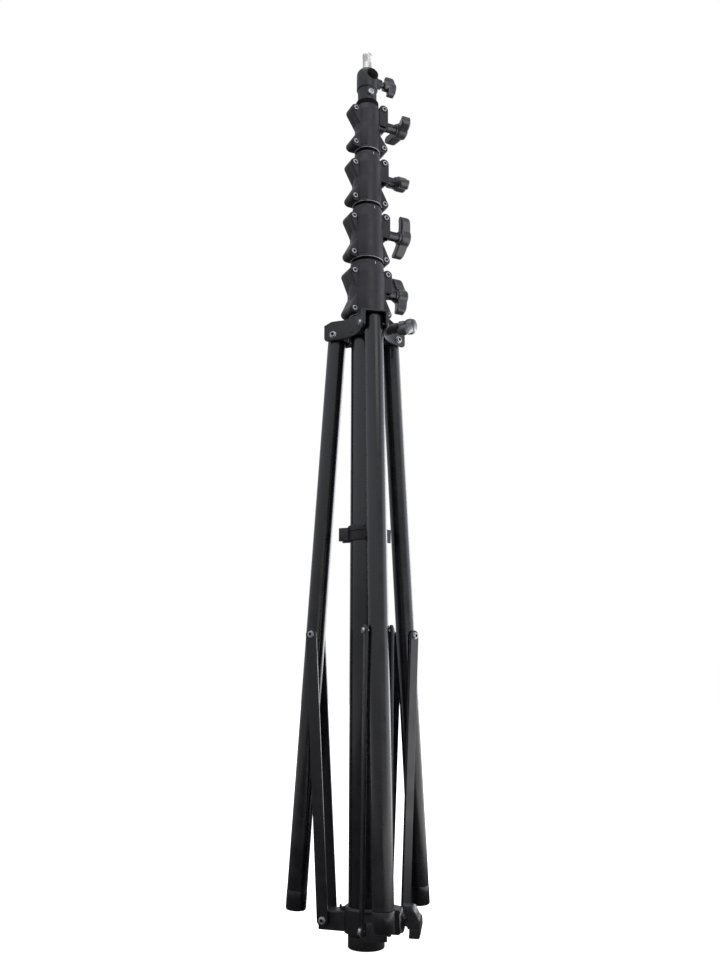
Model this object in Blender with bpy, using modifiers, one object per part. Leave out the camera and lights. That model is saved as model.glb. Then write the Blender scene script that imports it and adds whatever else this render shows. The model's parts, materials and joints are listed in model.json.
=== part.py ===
# Telescopic light stand with a folding tripod base, folded and standing upright.
# Units are metres, +Z is up and the origin is the centre of the column foot's underside.
# The camera side of the stand is -Y. A direction round the mast is an azimuth: degrees from -Y towards +X.

from math import asin, atan2, cos, pi, radians, sin

import bpy
import bmesh
from mathutils import Vector

MM = 0.001

# Fit between pieces
GAP = 0.3 * MM
PART_LINE = 0.5 * MM

# How far a cutter runs past what it cuts
BEYOND = 9 * MM
FAR = 80 * MM

# Mast: outside diameters from the column up to the top tube, and the wall of each tube
TUBE_DIAMETERS = [52 * MM, 46 * MM, 40 * MM, 34 * MM, 28 * MM]
TUBE_WALL = 2 * MM
TUBE_STEPS = 24
BOSS_STEPS = 12
HOLE_STEPS = 10
SCREW_STEPS = 8
TUBE_OVERLAP = 200 * MM
TUBE_TRAVELS = [0.80, 0.85, 0.90, 0.95]
FOOT_HEIGHT = 18 * MM
PLUG_TOP = 44 * MM

# Clamp collars: heights are measured from the lower screws of each collar
COLLAR_AZIMUTH = 26
FIRST_COLLAR_HEIGHT = 967 * MM
COLLAR_SPACING = 103 * MM
COLLAR_BOTTOM = -10 * MM
COLLAR_TOP = 87 * MM
COLLAR_WALL = 5 * MM
COLLAR_SHOULDER = 76 * MM
COLLAR_SEAT = 30 * MM
EAR_FRONTS = [17 * MM, 12.5 * MM, 12 * MM, 12 * MM]
EAR_REARS = [22 * MM, 19 * MM, 18 * MM, 14 * MM]
EAR_RADIUS = 8 * MM
SCREW_OFFSETS = [30.5 * MM, 30 * MM, 28 * MM, 27 * MM]
LEFT_SCREW_HEIGHTS = [67 * MM, 65 * MM, 63 * MM, 65 * MM]
RIGHT_LOW_HEIGHTS = [0, -3.4 * MM, -2.6 * MM, 1.2 * MM]
RIGHT_HIGH_HEIGHTS = [70 * MM, 74 * MM, 74.5 * MM, 77 * MM]
COLLAR_KNOB_HEIGHTS = [43 * MM, 50 * MM, 50 * MM, 52 * MM]
FINGER_BOTTOMS = [38 * MM, 38 * MM, 39 * MM, 45 * MM]
BOSS_RADIUS = 9 * MM
SCREW_RADIUS = 2.7 * MM
SCREW_HEAD_RADIUS = 5.2 * MM
SCREW_HEAD_HEIGHT = 3.4 * MM
SCREW_GRIP = 2 * MM
BUSH_LENGTH = 26 * MM

# T knobs and their studs
KNOB_LENGTH = 71 * MM
KNOB_WIDTH = 17 * MM
KNOB_SWEEP = 6 * MM
KNOB_HUB_RADIUS = 12.5 * MM
KNOB_END_RADIUS = 6.5 * MM
STUD_RADIUS = 4 * MM
NECK_RADIUS = 9 * MM
COLLAR_NECKS = [14 * MM, 21 * MM, 17 * MM, 20 * MM]
SOCKET_NECK = 12 * MM
SHORT_NECK = 10 * MM
STUD_GRIP = 10 * MM
STUD_GRIP_THROUGH = 24 * MM
THROUGH_LEVEL = 2
COLLAR_KNOB_ANGLES = [-15, 25, -62, 86]
SOCKET_KNOB_ANGLE = -12
SPIDER_KNOB_ANGLE = -58
LOWER_KNOB_ANGLE = 38
SOCKET_KNOB_SIZE = 0.6
LOWER_KNOB_SIZE = 0.88

# Spigot and the casting that holds it
SOCKET_STEPS = 16
SOCKET_BOTTOM = 1363 * MM
SOCKET_STEP = 1389 * MM
SOCKET_TOP = 1430 * MM
SOCKET_RADIUS = 18.5 * MM
SOCKET_NECK_RADIUS = 16.5 * MM
SOCKET_KNOB_HEIGHT = 1410 * MM
SOCKET_BOSS_END = 27 * MM
SOCKET_BOSS_RADIUS = 7 * MM
CROWN_RADIUS = 7 * MM
SOCKET_SCREW_HEIGHT = 1377 * MM
SOCKET_SCREW_AZIMUTH = 22
SPIGOT_DIAMETER = 16 * MM
SPIGOT_BOTTOM = 1397 * MM
SPIGOT_TOP = 1465 * MM

# Folding base
FRONT_LEG_AZIMUTH = 12
LEG_COUNT = 3
LEG_ANGLE = radians(3.7)
LEG_PIVOT_RADIUS = 52 * MM
LEG_PIVOT_HEIGHT = 930 * MM
LEG_LENGTH = 889 * MM
LEG_RADIUS = 15 * MM
LEG_WALL = 1.8 * MM
LEG_STEPS = 16
FOOT_CAP_LENGTH = 28 * MM
FOOT_CAP_RADIUS = 15.9 * MM
BRACE_ON_LEG = 489 * MM
BRACE_PIVOT_RADIUS = 60 * MM
BRACE_PIVOT_HEIGHT = 35.5 * MM
BRACE_WIDTH = 16 * MM
BRACE_THICKNESS = 4 * MM
BRACE_INSIDE = 17.2 * MM
BRACE_BOLT_RADIUS = 3 * MM
LEG_BOLT_RADIUS = 4 * MM

# Spider casting, which slides on the column with room for the linkage to settle
SPIDER_CLEARANCE = 2.2 * MM
SPIDER_WALL = 5.5 * MM
SPIDER_TOP = 951 * MM
SPIDER_BOTTOM = 926 * MM
CHEEK_INSIDE = 16.3 * MM
CHEEK_THICKNESS = 4.5 * MM
ROOF_THICKNESS = 4 * MM
SPIDER_KNOB_AZIMUTH = 72
SPIDER_KNOB_HEIGHT = 936 * MM
SPIDER_BOSS_REACH = 54 * MM

# Lower collar
LOWER_BOTTOM = 21 * MM
LOWER_TOP = 56 * MM
LOWER_ARM_WIDTH = 30.4 * MM
LOWER_BOSS_REACH = 52 * MM
LOWER_BOSS_WIDTH = 26 * MM
WASHER_RADIUS = 13 * MM
WASHER_THICKNESS = 3 * MM
LOWER_KNOB_AZIMUTH = 74
LOWER_KNOB_HEIGHT = 39 * MM
LOWER_BORE_RADIUS = 6.2 * MM

# Clip ring, which is also where the spider stops
RING_BOTTOM = 585 * MM
RING_TOP = 609 * MM
RING_WALL = 3.6 * MM
CLIP_REACH = 41 * MM
CLIP_HALF_WIDTH = 9.5 * MM
CLIP_MOUTH_HALF = 6.2 * MM

BLACK_PAINT = ((0.013, 0.013, 0.015), 0.28, 0.3)
DARK_NYLON = ((0.028, 0.027, 0.032), 0.45, 0.0)
RUBBER = ((0.010, 0.010, 0.011), 0.7, 0.0)
ZINC = ((0.62, 0.62, 0.64), 0.3, 1.0)
NICKEL = ((0.75, 0.75, 0.76), 0.2, 1.0)
ACETAL = ((0.10, 0.10, 0.10), 0.5, 0.0)


def clear_scene():
    for thing in list(bpy.data.objects):
        bpy.data.objects.remove(thing)


def new_collection(name):
    collection = bpy.data.collections.new(name)
    bpy.context.scene.collection.children.link(collection)
    return collection


clear_scene()
PARTS = new_collection("light_stand")
CUTTERS = new_collection("light_stand_cutters")


def paint(thing, look):
    colour, roughness, metallic = look
    material = bpy.data.materials.new(thing.name + "_material")
    material.use_nodes = True
    shader = material.node_tree.nodes["Principled BSDF"]
    shader.inputs["Base Color"].default_value = (*colour, 1.0)
    shader.inputs["Roughness"].default_value = roughness
    shader.inputs["Metallic"].default_value = metallic
    thing.data.materials.clear()
    thing.data.materials.append(material)


def place(thing, parent=None, location=(0, 0, 0), rotation=(0, 0, 0), collection=PARTS):
    collection.objects.link(thing)
    thing.parent = parent
    thing.location = location
    thing.rotation_euler = rotation
    if collection is CUTTERS:
        thing.hide_render = True
        thing.display_type = "WIRE"
    return thing


def frame(name, location=(0, 0, 0), turn=0.0, tilt=0.0, spin=0.0, parent=None):
    # An empty whose +X points outwards along an arm or a knob's stud, or to the right of a collar
    empty = bpy.data.objects.new(name, None)
    empty.empty_display_size = 0.03
    PARTS.objects.link(empty)
    empty.parent = parent
    empty.location = location
    empty.rotation_euler = (spin, tilt, turn)
    return empty


def arm_turn(azimuth):
    return radians(azimuth - 90)


def arc(centre, radius, start, end, count):
    # Points on an arc, angles in degrees, anticlockwise when the end is larger
    angles = [radians(start + (end - start) * step / count) for step in range(count + 1)]
    return [(centre[0] + radius * cos(a), centre[1] + radius * sin(a)) for a in angles]


def circle(centre, radius, count=HOLE_STEPS):
    return arc(centre, radius, 0, 360, count)[:-1]


def plate(name, outlines, thickness, **where):
    # A flat piece: the first outline is its edge, the others are holes through it
    curve = bpy.data.curves.new(name, "CURVE")
    curve.dimensions = "2D"
    curve.fill_mode = "BOTH"
    curve.extrude = thickness / 2
    for outline in outlines:
        spline = curve.splines.new("POLY")
        spline.points.add(len(outline) - 1)
        for point, (x, y) in zip(spline.points, outline):
            point.co = (x, y, 0, 1)
        spline.use_cyclic_u = True
    return place(bpy.data.objects.new(name, curve), **where)


def as_mesh(thing):
    # The same piece as a welded mesh, in the same place, so that it can be cut or joined
    graph = bpy.context.evaluated_depsgraph_get()
    mesh = bpy.data.meshes.new_from_object(thing.evaluated_get(graph))
    shape = bmesh.new()
    shape.from_mesh(mesh)
    bmesh.ops.remove_doubles(shape, verts=shape.verts, dist=0.00001)
    shape.to_mesh(mesh)
    shape.free()
    name, parent, collection = thing.name, thing.parent, thing.users_collection[0]
    location, rotation = thing.location.copy(), thing.rotation_euler.copy()
    bpy.data.objects.remove(thing)
    solid = bpy.data.objects.new(name, mesh)
    return place(solid, parent, location, rotation, collection)


def turned(name, profile, steps=TUBE_STEPS, closed=False, **where):
    # A profile of (radius, height) points, from the top down its outer side, turned about Z
    mesh = bpy.data.meshes.new(name)
    count = len(profile)
    edges = [(i, i + 1) for i in range(count - 1)]
    if closed:
        edges.append((count - 1, 0))
    mesh.from_pydata([(radius, 0, height) for radius, height in profile], edges, [])
    thing = place(bpy.data.objects.new(name, mesh), **where)
    screw = thing.modifiers.new("turn", "SCREW")
    screw.steps = steps
    screw.render_steps = steps
    screw.use_merge_vertices = True
    screw.merge_threshold = 0.00001
    screw.use_smooth_shade = False
    return thing


def ring(name, inner, outer, bottom, top, steps=TUBE_STEPS, **where):
    profile = [(outer, top), (outer, bottom), (inner, bottom), (inner, top)]
    return turned(name, profile, steps, closed=True, **where)


def rod(name, radius, bottom, top, steps=HOLE_STEPS, **where):
    return turned(name, [(0, top), (radius, top), (radius, bottom), (0, bottom)], steps, **where)


def box(name, low, high, **where):
    shape = bmesh.new()
    bmesh.ops.create_cube(shape, size=1)
    low, high = Vector(low), Vector(high)
    for corner in shape.verts:
        corner.co = Vector([(low[k] + high[k]) / 2 + corner.co[k] * (high[k] - low[k]) for k in range(3)])
    mesh = bpy.data.meshes.new(name)
    shape.to_mesh(mesh)
    shape.free()
    return place(bpy.data.objects.new(name, mesh), **where)


def combine(thing, other, operation):
    step = thing.modifiers.new(operation.lower(), "BOOLEAN")
    step.operation = operation
    step.object = other
    return thing


def cut(thing, *cutters):
    for cutter in cutters:
        combine(thing, cutter, "DIFFERENCE")
    return thing


def join(thing, *others):
    for other in others:
        combine(thing, other, "UNION")
    return thing


def settle(thing):
    # Applies the modifiers and shades round sides smooth, with sharp corners
    graph = bpy.context.evaluated_depsgraph_get()
    mesh = bpy.data.meshes.new_from_object(thing.evaluated_get(graph))
    mesh.shade_smooth()
    mesh.set_sharp_from_angle(angle=radians(35))
    thing.modifiers.clear()
    thing.data = mesh


ALONG_X = (0, pi / 2, 0)
ALONG_Y = (-pi / 2, 0, 0)
UPRIGHT = (pi / 2, 0, 0)


def socket_screw(name, seat, **where):
    # Hex-socket screw along +Z with the underside of its head at Z = seat
    socket_depth = seat + SCREW_HEAD_HEIGHT * 0.35
    socket = SCREW_HEAD_RADIUS * 0.52
    head_top = seat + SCREW_HEAD_HEIGHT
    profile = [(0, socket_depth), (socket, socket_depth), (socket, head_top), (SCREW_HEAD_RADIUS, head_top),
               (SCREW_HEAD_RADIUS, seat), (SCREW_RADIUS, seat), (SCREW_RADIUS, seat - SCREW_GRIP),
               (0, seat - SCREW_GRIP)]
    thing = turned(name, profile, HOLE_STEPS, **where)
    paint(thing, ZINC)


def knob_front(length, end_radius, hub_radius):
    # Outline seen along the knob's axis: a round hub between two arms
    half = length / 2 - end_radius
    blend = asin(end_radius * 1.1 / hub_radius) * 180 / pi
    side = arc((half, 0), end_radius, -90, 90, 4) + arc((0, 0), hub_radius, blend, 180 - blend, 4)
    return side + [(-x, -y) for x, y in side]


def knob_side(length, width, sweep):
    # Outline seen from the side: a bow of even thickness whose arms are swept back towards the neck
    half = length / 2 + MM
    stations = [half * step / 4 for step in range(-4, 5)]
    inner = [(-sweep * (y / half) ** 2, y) for y in stations]
    return [(x + width, y) for x, y in inner] + inner[::-1]


def knob(name, parent, seat, size=1.0, grip=STUD_GRIP):
    # T knob, which turns about +X and has its hub's near face at X = seat. The stud ends in its hole.
    length, width, sweep = KNOB_LENGTH * size, KNOB_WIDTH * size, KNOB_SWEEP * size
    hub = KNOB_HUB_RADIUS * size
    bow = plate(name, [knob_side(length, width, sweep)], 2 * hub + MM, parent=parent,
                location=(seat, 0, 0), rotation=UPRIGHT)
    bow = as_mesh(bow)
    front = plate(name + "_front", [knob_front(length, KNOB_END_RADIUS * size, hub)], 2 * width + 2 * sweep,
                  parent=parent, location=(seat, 0, 0), rotation=ALONG_X, collection=CUTTERS)
    hole = rod(name + "_hole", STUD_RADIUS * size + GAP, -width, grip * size + GAP,
               parent=parent, location=(seat, 0, 0), rotation=ALONG_X, collection=CUTTERS)
    cut(bow, hole)
    combine(bow, as_mesh(front), "INTERSECT")
    paint(bow, DARK_NYLON)


def stud(name, parent, inner_end, seat, neck, size=1.0, grip=STUD_GRIP, washer=None):
    # Steel stud of a knob: threaded shank, the neck that bears on the boss, and the end inside the knob
    shank = STUD_RADIUS * size
    flange = NECK_RADIUS * size
    near, far = seat + GAP, seat + neck
    profile = [(0, far + grip * size), (shank, far + grip * size), (shank, far), (flange, far)]
    if washer:
        profile += [(flange, near + WASHER_THICKNESS), (washer, near + WASHER_THICKNESS), (washer, near)]
    else:
        profile += [(flange, near)]
    profile += [(shank, near), (shank, inner_end), (0, inner_end)]
    thing = turned(name, profile, HOLE_STEPS, parent=parent, rotation=ALONG_X)
    paint(thing, ZINC)


def knob_and_stud(kind, parent, boss_end, inner_end, neck, size=1.0, grip=STUD_GRIP, washer=None):
    # The kind has the number of its place, if any, at its end: collar_%s_1 becomes collar_knob_1
    knob(kind % "knob", parent, boss_end + neck + 3 * GAP, size, grip)
    stud(kind % "stud", parent, inner_end, boss_end, neck, size, grip, washer)


# Mast tubes

tube_radii = [diameter / 2 for diameter in TUBE_DIAMETERS]
collar_heights = [FIRST_COLLAR_HEIGHT + COLLAR_SPACING * level for level in range(4)]


def tube_name(level):
    return "outer_tube" if level == 0 else "inner_tube_%d" % level


def make_tubes():
    for level, radius in enumerate(tube_radii):
        if level == 0:
            bottom = FOOT_HEIGHT + GAP
        else:
            guide_top = collar_heights[level - 1] + COLLAR_TOP
            bottom = guide_top - TUBE_OVERLAP - TUBE_TRAVELS[level - 1]
        top = SOCKET_STEP if level == 4 else collar_heights[level] + COLLAR_SEAT - GAP
        tube = ring(tube_name(level), radius - TUBE_WALL, radius, 0, top - bottom, location=(0, 0, bottom))
        paint(tube, BLACK_PAINT)


def make_column_foot():
    # Rubber cap with a flat underside: a rim below the tube's end and a hollow plug up inside it
    radius = tube_radii[0] + 0.4 * MM
    plug = tube_radii[0] - TUBE_WALL - GAP
    edge = 2 * MM
    floor = 5 * MM
    inside = plug - 3 * MM
    profile = [(0, floor), (inside, floor), (inside, PLUG_TOP), (plug, PLUG_TOP), (plug, FOOT_HEIGHT),
               (radius, FOOT_HEIGHT), (radius, edge), (radius - edge, 0), (0, 0)]
    paint(turned("column_foot", profile), RUBBER)


# Clamp collars

def screw_spots(level):
    reach = SCREW_OFFSETS[level]
    left, low, high = LEFT_SCREW_HEIGHTS[level], RIGHT_LOW_HEIGHTS[level], RIGHT_HIGH_HEIGHTS[level]
    return (-reach, 0), (-reach, left), (reach, low), (reach, high)


def ear_outline(level, body_radius, front):
    # Hourglass of four lobes round the screws. The right upper lobe is a tall finger over the knob boss.
    reach = SCREW_OFFSETS[level]
    waist = min(body_radius, reach) - 4 * MM
    left_low, left_high, right_low, right_high = screw_spots(level)
    edge = arc(right_high, EAR_RADIUS, 0, 180, 5)
    edge += arc(left_high, EAR_RADIUS, 90, 218, 3)
    edge += [(-waist, left_high[1] - 30 * MM), (-waist, 28 * MM)]
    edge += arc(left_low, EAR_RADIUS, 142, 270, 3)
    edge += arc(right_low, EAR_RADIUS, -90, 38, 3)
    edge += [(waist, 28 * MM)]
    if front:
        finger_bottom = FINGER_BOTTOMS[level]
        edge += [(waist, finger_bottom), (reach + EAR_RADIUS, finger_bottom)]
    else:
        edge += [(reach + EAR_RADIUS, COLLAR_KNOB_HEIGHTS[level] - BOSS_RADIUS)]
    return edge


def make_collar(level):
    # Two shells clamp the top end of the lower tube, and guide the upper tube in a bush
    number = level + 1
    outer, inner = tube_radii[level], tube_radii[level + 1]
    body_radius = outer + COLLAR_WALL
    sleeve_radius = inner + COLLAR_WALL
    boss_end = max(SCREW_OFFSETS[level] + EAR_RADIUS, body_radius + 4 * MM) + MM
    boss_height = COLLAR_KNOB_HEIGHTS[level]
    ear_front, ear_rear = EAR_FRONTS[level], EAR_REARS[level]
    bush_bottom = COLLAR_TOP - BUSH_LENGTH
    home = frame("collar_%d_frame" % number, (0, 0, collar_heights[level]), radians(COLLAR_AZIMUTH))
    body = turned("collar_%d_body" % number,
                  [(0, COLLAR_TOP), (sleeve_radius, COLLAR_TOP), (sleeve_radius, COLLAR_SHOULDER),
                   (body_radius, COLLAR_SHOULDER - 3 * MM), (body_radius, COLLAR_BOTTOM), (0, COLLAR_BOTTOM)],
                  parent=home, collection=CUTTERS)
    bore = turned("collar_%d_bore" % number,
                  [(0, COLLAR_TOP + MM), (inner + 2.1 * MM, COLLAR_TOP + MM), (inner + 2.1 * MM, bush_bottom),
                   (inner + 1.2 * MM, bush_bottom), (inner + 1.2 * MM, COLLAR_SEAT),
                   (outer + GAP, COLLAR_SEAT), (outer + GAP, COLLAR_BOTTOM - MM), (0, COLLAR_BOTTOM - MM)],
                  parent=home, collection=CUTTERS)
    behind = box("collar_%d_behind" % number, (-FAR, -PART_LINE, -FAR), (FAR, FAR, 2 * FAR),
                 parent=home, collection=CUTTERS)
    before = box("collar_%d_before" % number, (-FAR, -FAR, -FAR), (FAR, PART_LINE, 2 * FAR),
                 parent=home, collection=CUTTERS)
    boss = rod("collar_%d_boss" % number, BOSS_RADIUS, outer + MM, boss_end, BOSS_STEPS, parent=home,
               location=(0, 0, boss_height), rotation=ALONG_X, collection=CUTTERS)
    notch = rod("collar_%d_notch" % number, BOSS_RADIUS + GAP, inner, FAR, BOSS_STEPS, parent=home,
                location=(0, 0, boss_height), rotation=ALONG_X, collection=CUTTERS)
    hole = rod("collar_%d_stud_hole" % number, STUD_RADIUS + GAP, inner, FAR, parent=home,
               location=(0, 0, boss_height), rotation=ALONG_X, collection=CUTTERS)

    holes = [circle(spot, SCREW_RADIUS + GAP, SCREW_STEPS) for spot in screw_spots(level)]
    screw_holes = as_mesh(plate("collar_%d_screw_holes" % number, holes, FAR, parent=home,
                                rotation=UPRIGHT, collection=CUTTERS))

    front = plate("collar_front_%d" % number, [ear_outline(level, body_radius, True)],
                  ear_front + BEYOND, parent=home, location=(0, (BEYOND - ear_front) / 2, 0),
                  rotation=UPRIGHT)
    front = as_mesh(front)
    join(front, body)
    cut(front, behind, bore, notch, screw_holes)
    rear = plate("collar_rear_%d" % number, [ear_outline(level, body_radius, False)],
                 ear_rear + BEYOND, parent=home, location=(0, (ear_rear - BEYOND) / 2, 0), rotation=UPRIGHT)
    rear = as_mesh(rear)
    join(rear, body)
    cut(rear, before)
    join(rear, boss)
    cut(rear, bore, hole, screw_holes)
    for shell in (front, rear):
        paint(shell, DARK_NYLON)

    bush = ring("guide_bush_%d" % number, inner + GAP, inner + 1.8 * MM, bush_bottom + GAP, COLLAR_TOP - MM,
                parent=home)
    paint(bush, ACETAL)

    axis = frame("collar_knob_%d_axis" % number, (0, 0, boss_height), parent=home,
                 spin=radians(COLLAR_KNOB_ANGLES[level]))
    grip = STUD_GRIP_THROUGH if level == THROUGH_LEVEL else STUD_GRIP
    knob_and_stud("collar_%%s_%d" % number, axis, boss_end, inner + 0.6 * MM, COLLAR_NECKS[level],
                  grip=grip)


# Spigot and its socket

def make_socket():
    inner = tube_radii[4]
    knob_turn = radians(COLLAR_AZIMUTH)
    crown = SOCKET_RADIUS - CROWN_RADIUS
    dome = arc((CROWN_RADIUS, SOCKET_TOP - crown), crown, 90, 0, 4)
    profile = [(0, SOCKET_TOP)] + dome
    profile += [(SOCKET_RADIUS, SOCKET_STEP + MM), (SOCKET_RADIUS - MM, SOCKET_STEP),
                (SOCKET_NECK_RADIUS, SOCKET_STEP), (SOCKET_NECK_RADIUS, SOCKET_BOTTOM), (0, SOCKET_BOTTOM)]
    socket = turned("spigot_socket", profile, SOCKET_STEPS)
    boss = rod("socket_boss", SOCKET_BOSS_RADIUS, 10 * MM, SOCKET_BOSS_END, BOSS_STEPS,
               location=(0, 0, SOCKET_KNOB_HEIGHT), rotation=(0, pi / 2, knob_turn), collection=CUTTERS)
    hollow = turned("socket_hollow",
                    [(0, SOCKET_TOP + MM), (SPIGOT_DIAMETER / 2 + GAP, SOCKET_TOP + MM),
                     (SPIGOT_DIAMETER / 2 + GAP, SOCKET_STEP + 6 * MM), (6 * MM, SOCKET_STEP + 6 * MM),
                     (6 * MM, SOCKET_STEP + GAP), (inner + GAP, SOCKET_STEP + GAP),
                     (inner + GAP, SOCKET_BOTTOM - MM), (0, SOCKET_BOTTOM - MM)], SOCKET_STEPS,
                    collection=CUTTERS)
    stud_hole = rod("socket_stud_hole", 3 * MM + GAP, 5 * MM, FAR,
                    location=(0, 0, SOCKET_KNOB_HEIGHT), rotation=(0, pi / 2, knob_turn), collection=CUTTERS)
    screw_hole = rod("socket_screw_hole", SCREW_RADIUS + GAP, inner - MM, FAR,
                     location=(0, 0, SOCKET_SCREW_HEIGHT),
                     rotation=(0, pi / 2, arm_turn(SOCKET_SCREW_AZIMUTH)), collection=CUTTERS)
    join(socket, boss)
    cut(socket, hollow, stud_hole, screw_hole)
    paint(socket, DARK_NYLON)

    socket_screw("socket_screw", SOCKET_NECK_RADIUS + GAP, location=(0, 0, SOCKET_SCREW_HEIGHT),
                 rotation=(0, pi / 2, arm_turn(SOCKET_SCREW_AZIMUTH)))

    axis = frame("socket_knob_axis", (0, 0, SOCKET_KNOB_HEIGHT), knob_turn, spin=radians(SOCKET_KNOB_ANGLE))
    knob_and_stud("socket_%s", axis, SOCKET_BOSS_END, SPIGOT_DIAMETER / 2 + 2 * GAP,
                  SOCKET_NECK, size=SOCKET_KNOB_SIZE)


def make_spigot():
    radius = SPIGOT_DIAMETER / 2
    length = SPIGOT_TOP - SPIGOT_BOTTOM
    thread = 3 * MM
    profile = [(0, length), (thread, length), (thread, length - 3 * MM), (radius - 0.4 * MM, length - 3 * MM),
               (radius + 0.5 * MM, length - 3.6 * MM), (radius + 0.5 * MM, length - 6 * MM),
               (radius, length - 7 * MM), (radius, 6 * MM), (radius - 1.5 * MM, 4 * MM),
               (radius - 1.5 * MM, 0), (0, 0)]
    spigot = turned("spigot", profile, SOCKET_STEPS, location=(0, 0, SPIGOT_BOTTOM))
    paint(spigot, NICKEL)


# Folding base

leg_azimuths = [FRONT_LEG_AZIMUTH + 360 / LEG_COUNT * index for index in range(LEG_COUNT)]
brace_top_radius = LEG_PIVOT_RADIUS + BRACE_ON_LEG * sin(LEG_ANGLE)
brace_top_height = LEG_PIVOT_HEIGHT - BRACE_ON_LEG * cos(LEG_ANGLE)
brace_rise = brace_top_height - BRACE_PIVOT_HEIGHT
brace_run = brace_top_radius - BRACE_PIVOT_RADIUS
BRACE_LENGTH = (brace_rise ** 2 + brace_run ** 2) ** 0.5
brace_angle = atan2(brace_run, brace_rise)


def rivet(name, radius, head, half_width, **where):
    # Bolt with a head at both ends, along Z
    rim = half_width + 3 * MM
    thing = turned(name, [(0, rim), (head * 0.8, rim), (head, half_width), (radius, half_width),
                          (radius, -half_width), (head, -half_width), (head * 0.8, -rim), (0, -rim)],
                   HOLE_STEPS, **where)
    paint(thing, ZINC)


def make_leg(index):
    azimuth = leg_azimuths[index]
    number = index + 1
    pivot = frame("leg_%d_axis" % number, arm_point(azimuth, LEG_PIVOT_RADIUS, LEG_PIVOT_HEIGHT),
                  arm_turn(azimuth), -LEG_ANGLE)
    inside = LEG_RADIUS - LEG_WALL
    dome = arc((0, 0), LEG_RADIUS, 90, 0, 4)
    profile = [(0, LEG_RADIUS)] + dome[1:]
    tube_end = -(LEG_LENGTH - FOOT_CAP_LENGTH)
    profile += [(LEG_RADIUS, tube_end), (inside, tube_end), (inside, -14 * MM), (0, -14 * MM)]
    leg = turned("leg_%d" % number, profile, LEG_STEPS, parent=pivot)
    pivot_hole = rod("leg_%d_pivot_hole" % number, LEG_BOLT_RADIUS + GAP, -FAR, FAR,
                     parent=pivot, rotation=ALONG_Y, collection=CUTTERS)
    brace_hole = rod("leg_%d_brace_hole" % number, BRACE_BOLT_RADIUS + GAP, -FAR, FAR,
                     parent=pivot, location=(0, 0, -BRACE_ON_LEG), rotation=ALONG_Y, collection=CUTTERS)
    cut(leg, pivot_hole, brace_hole)
    paint(leg, BLACK_PAINT)

    plug = inside - GAP
    cap = turned("leg_foot_%d" % number,
                 [(0, 18 * MM), (plug, 18 * MM), (plug, -GAP), (FOOT_CAP_RADIUS, -GAP),
                  (FOOT_CAP_RADIUS, -FOOT_CAP_LENGTH + 2 * MM),
                  (FOOT_CAP_RADIUS - 2 * MM, -FOOT_CAP_LENGTH), (0, -FOOT_CAP_LENGTH)],
                 LEG_STEPS, parent=pivot, location=(0, 0, tube_end))
    paint(cap, RUBBER)


def arm_point(azimuth, radius, height):
    turn = arm_turn(azimuth)
    return (radius * cos(turn), radius * sin(turn), height)


def make_brace(index):
    # A pair of flat bars beside the leg, and the bolts that hold their two ends
    azimuth = leg_azimuths[index]
    number = index + 1
    pivot = frame("brace_%d_axis" % number, arm_point(azimuth, BRACE_PIVOT_RADIUS, BRACE_PIVOT_HEIGHT),
                  arm_turn(azimuth), brace_angle)
    half = BRACE_WIDTH / 2
    edge = arc((0, BRACE_LENGTH), half, 0, 180, 6) + arc((0, 0), half, 180, 360, 6)
    hole = BRACE_BOLT_RADIUS + GAP
    for side, hand in ((-1, "right"), (1, "left")):
        bar = plate("brace_%d_%s" % (number, hand),
                    [edge, circle((0, 0), hole), circle((0, BRACE_LENGTH), hole)], BRACE_THICKNESS,
                    parent=pivot, location=(0, side * (BRACE_INSIDE + BRACE_THICKNESS / 2), 0),
                    rotation=UPRIGHT)
        paint(as_mesh(bar), BLACK_PAINT)
    outside = BRACE_INSIDE + BRACE_THICKNESS + GAP
    for end, height in (("foot", 0), ("top", BRACE_LENGTH)):
        rivet("brace_%d_%s_bolt" % (number, end), BRACE_BOLT_RADIUS, 5.5 * MM, outside, parent=pivot,
              location=(0, 0, height), rotation=ALONG_Y)


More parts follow.
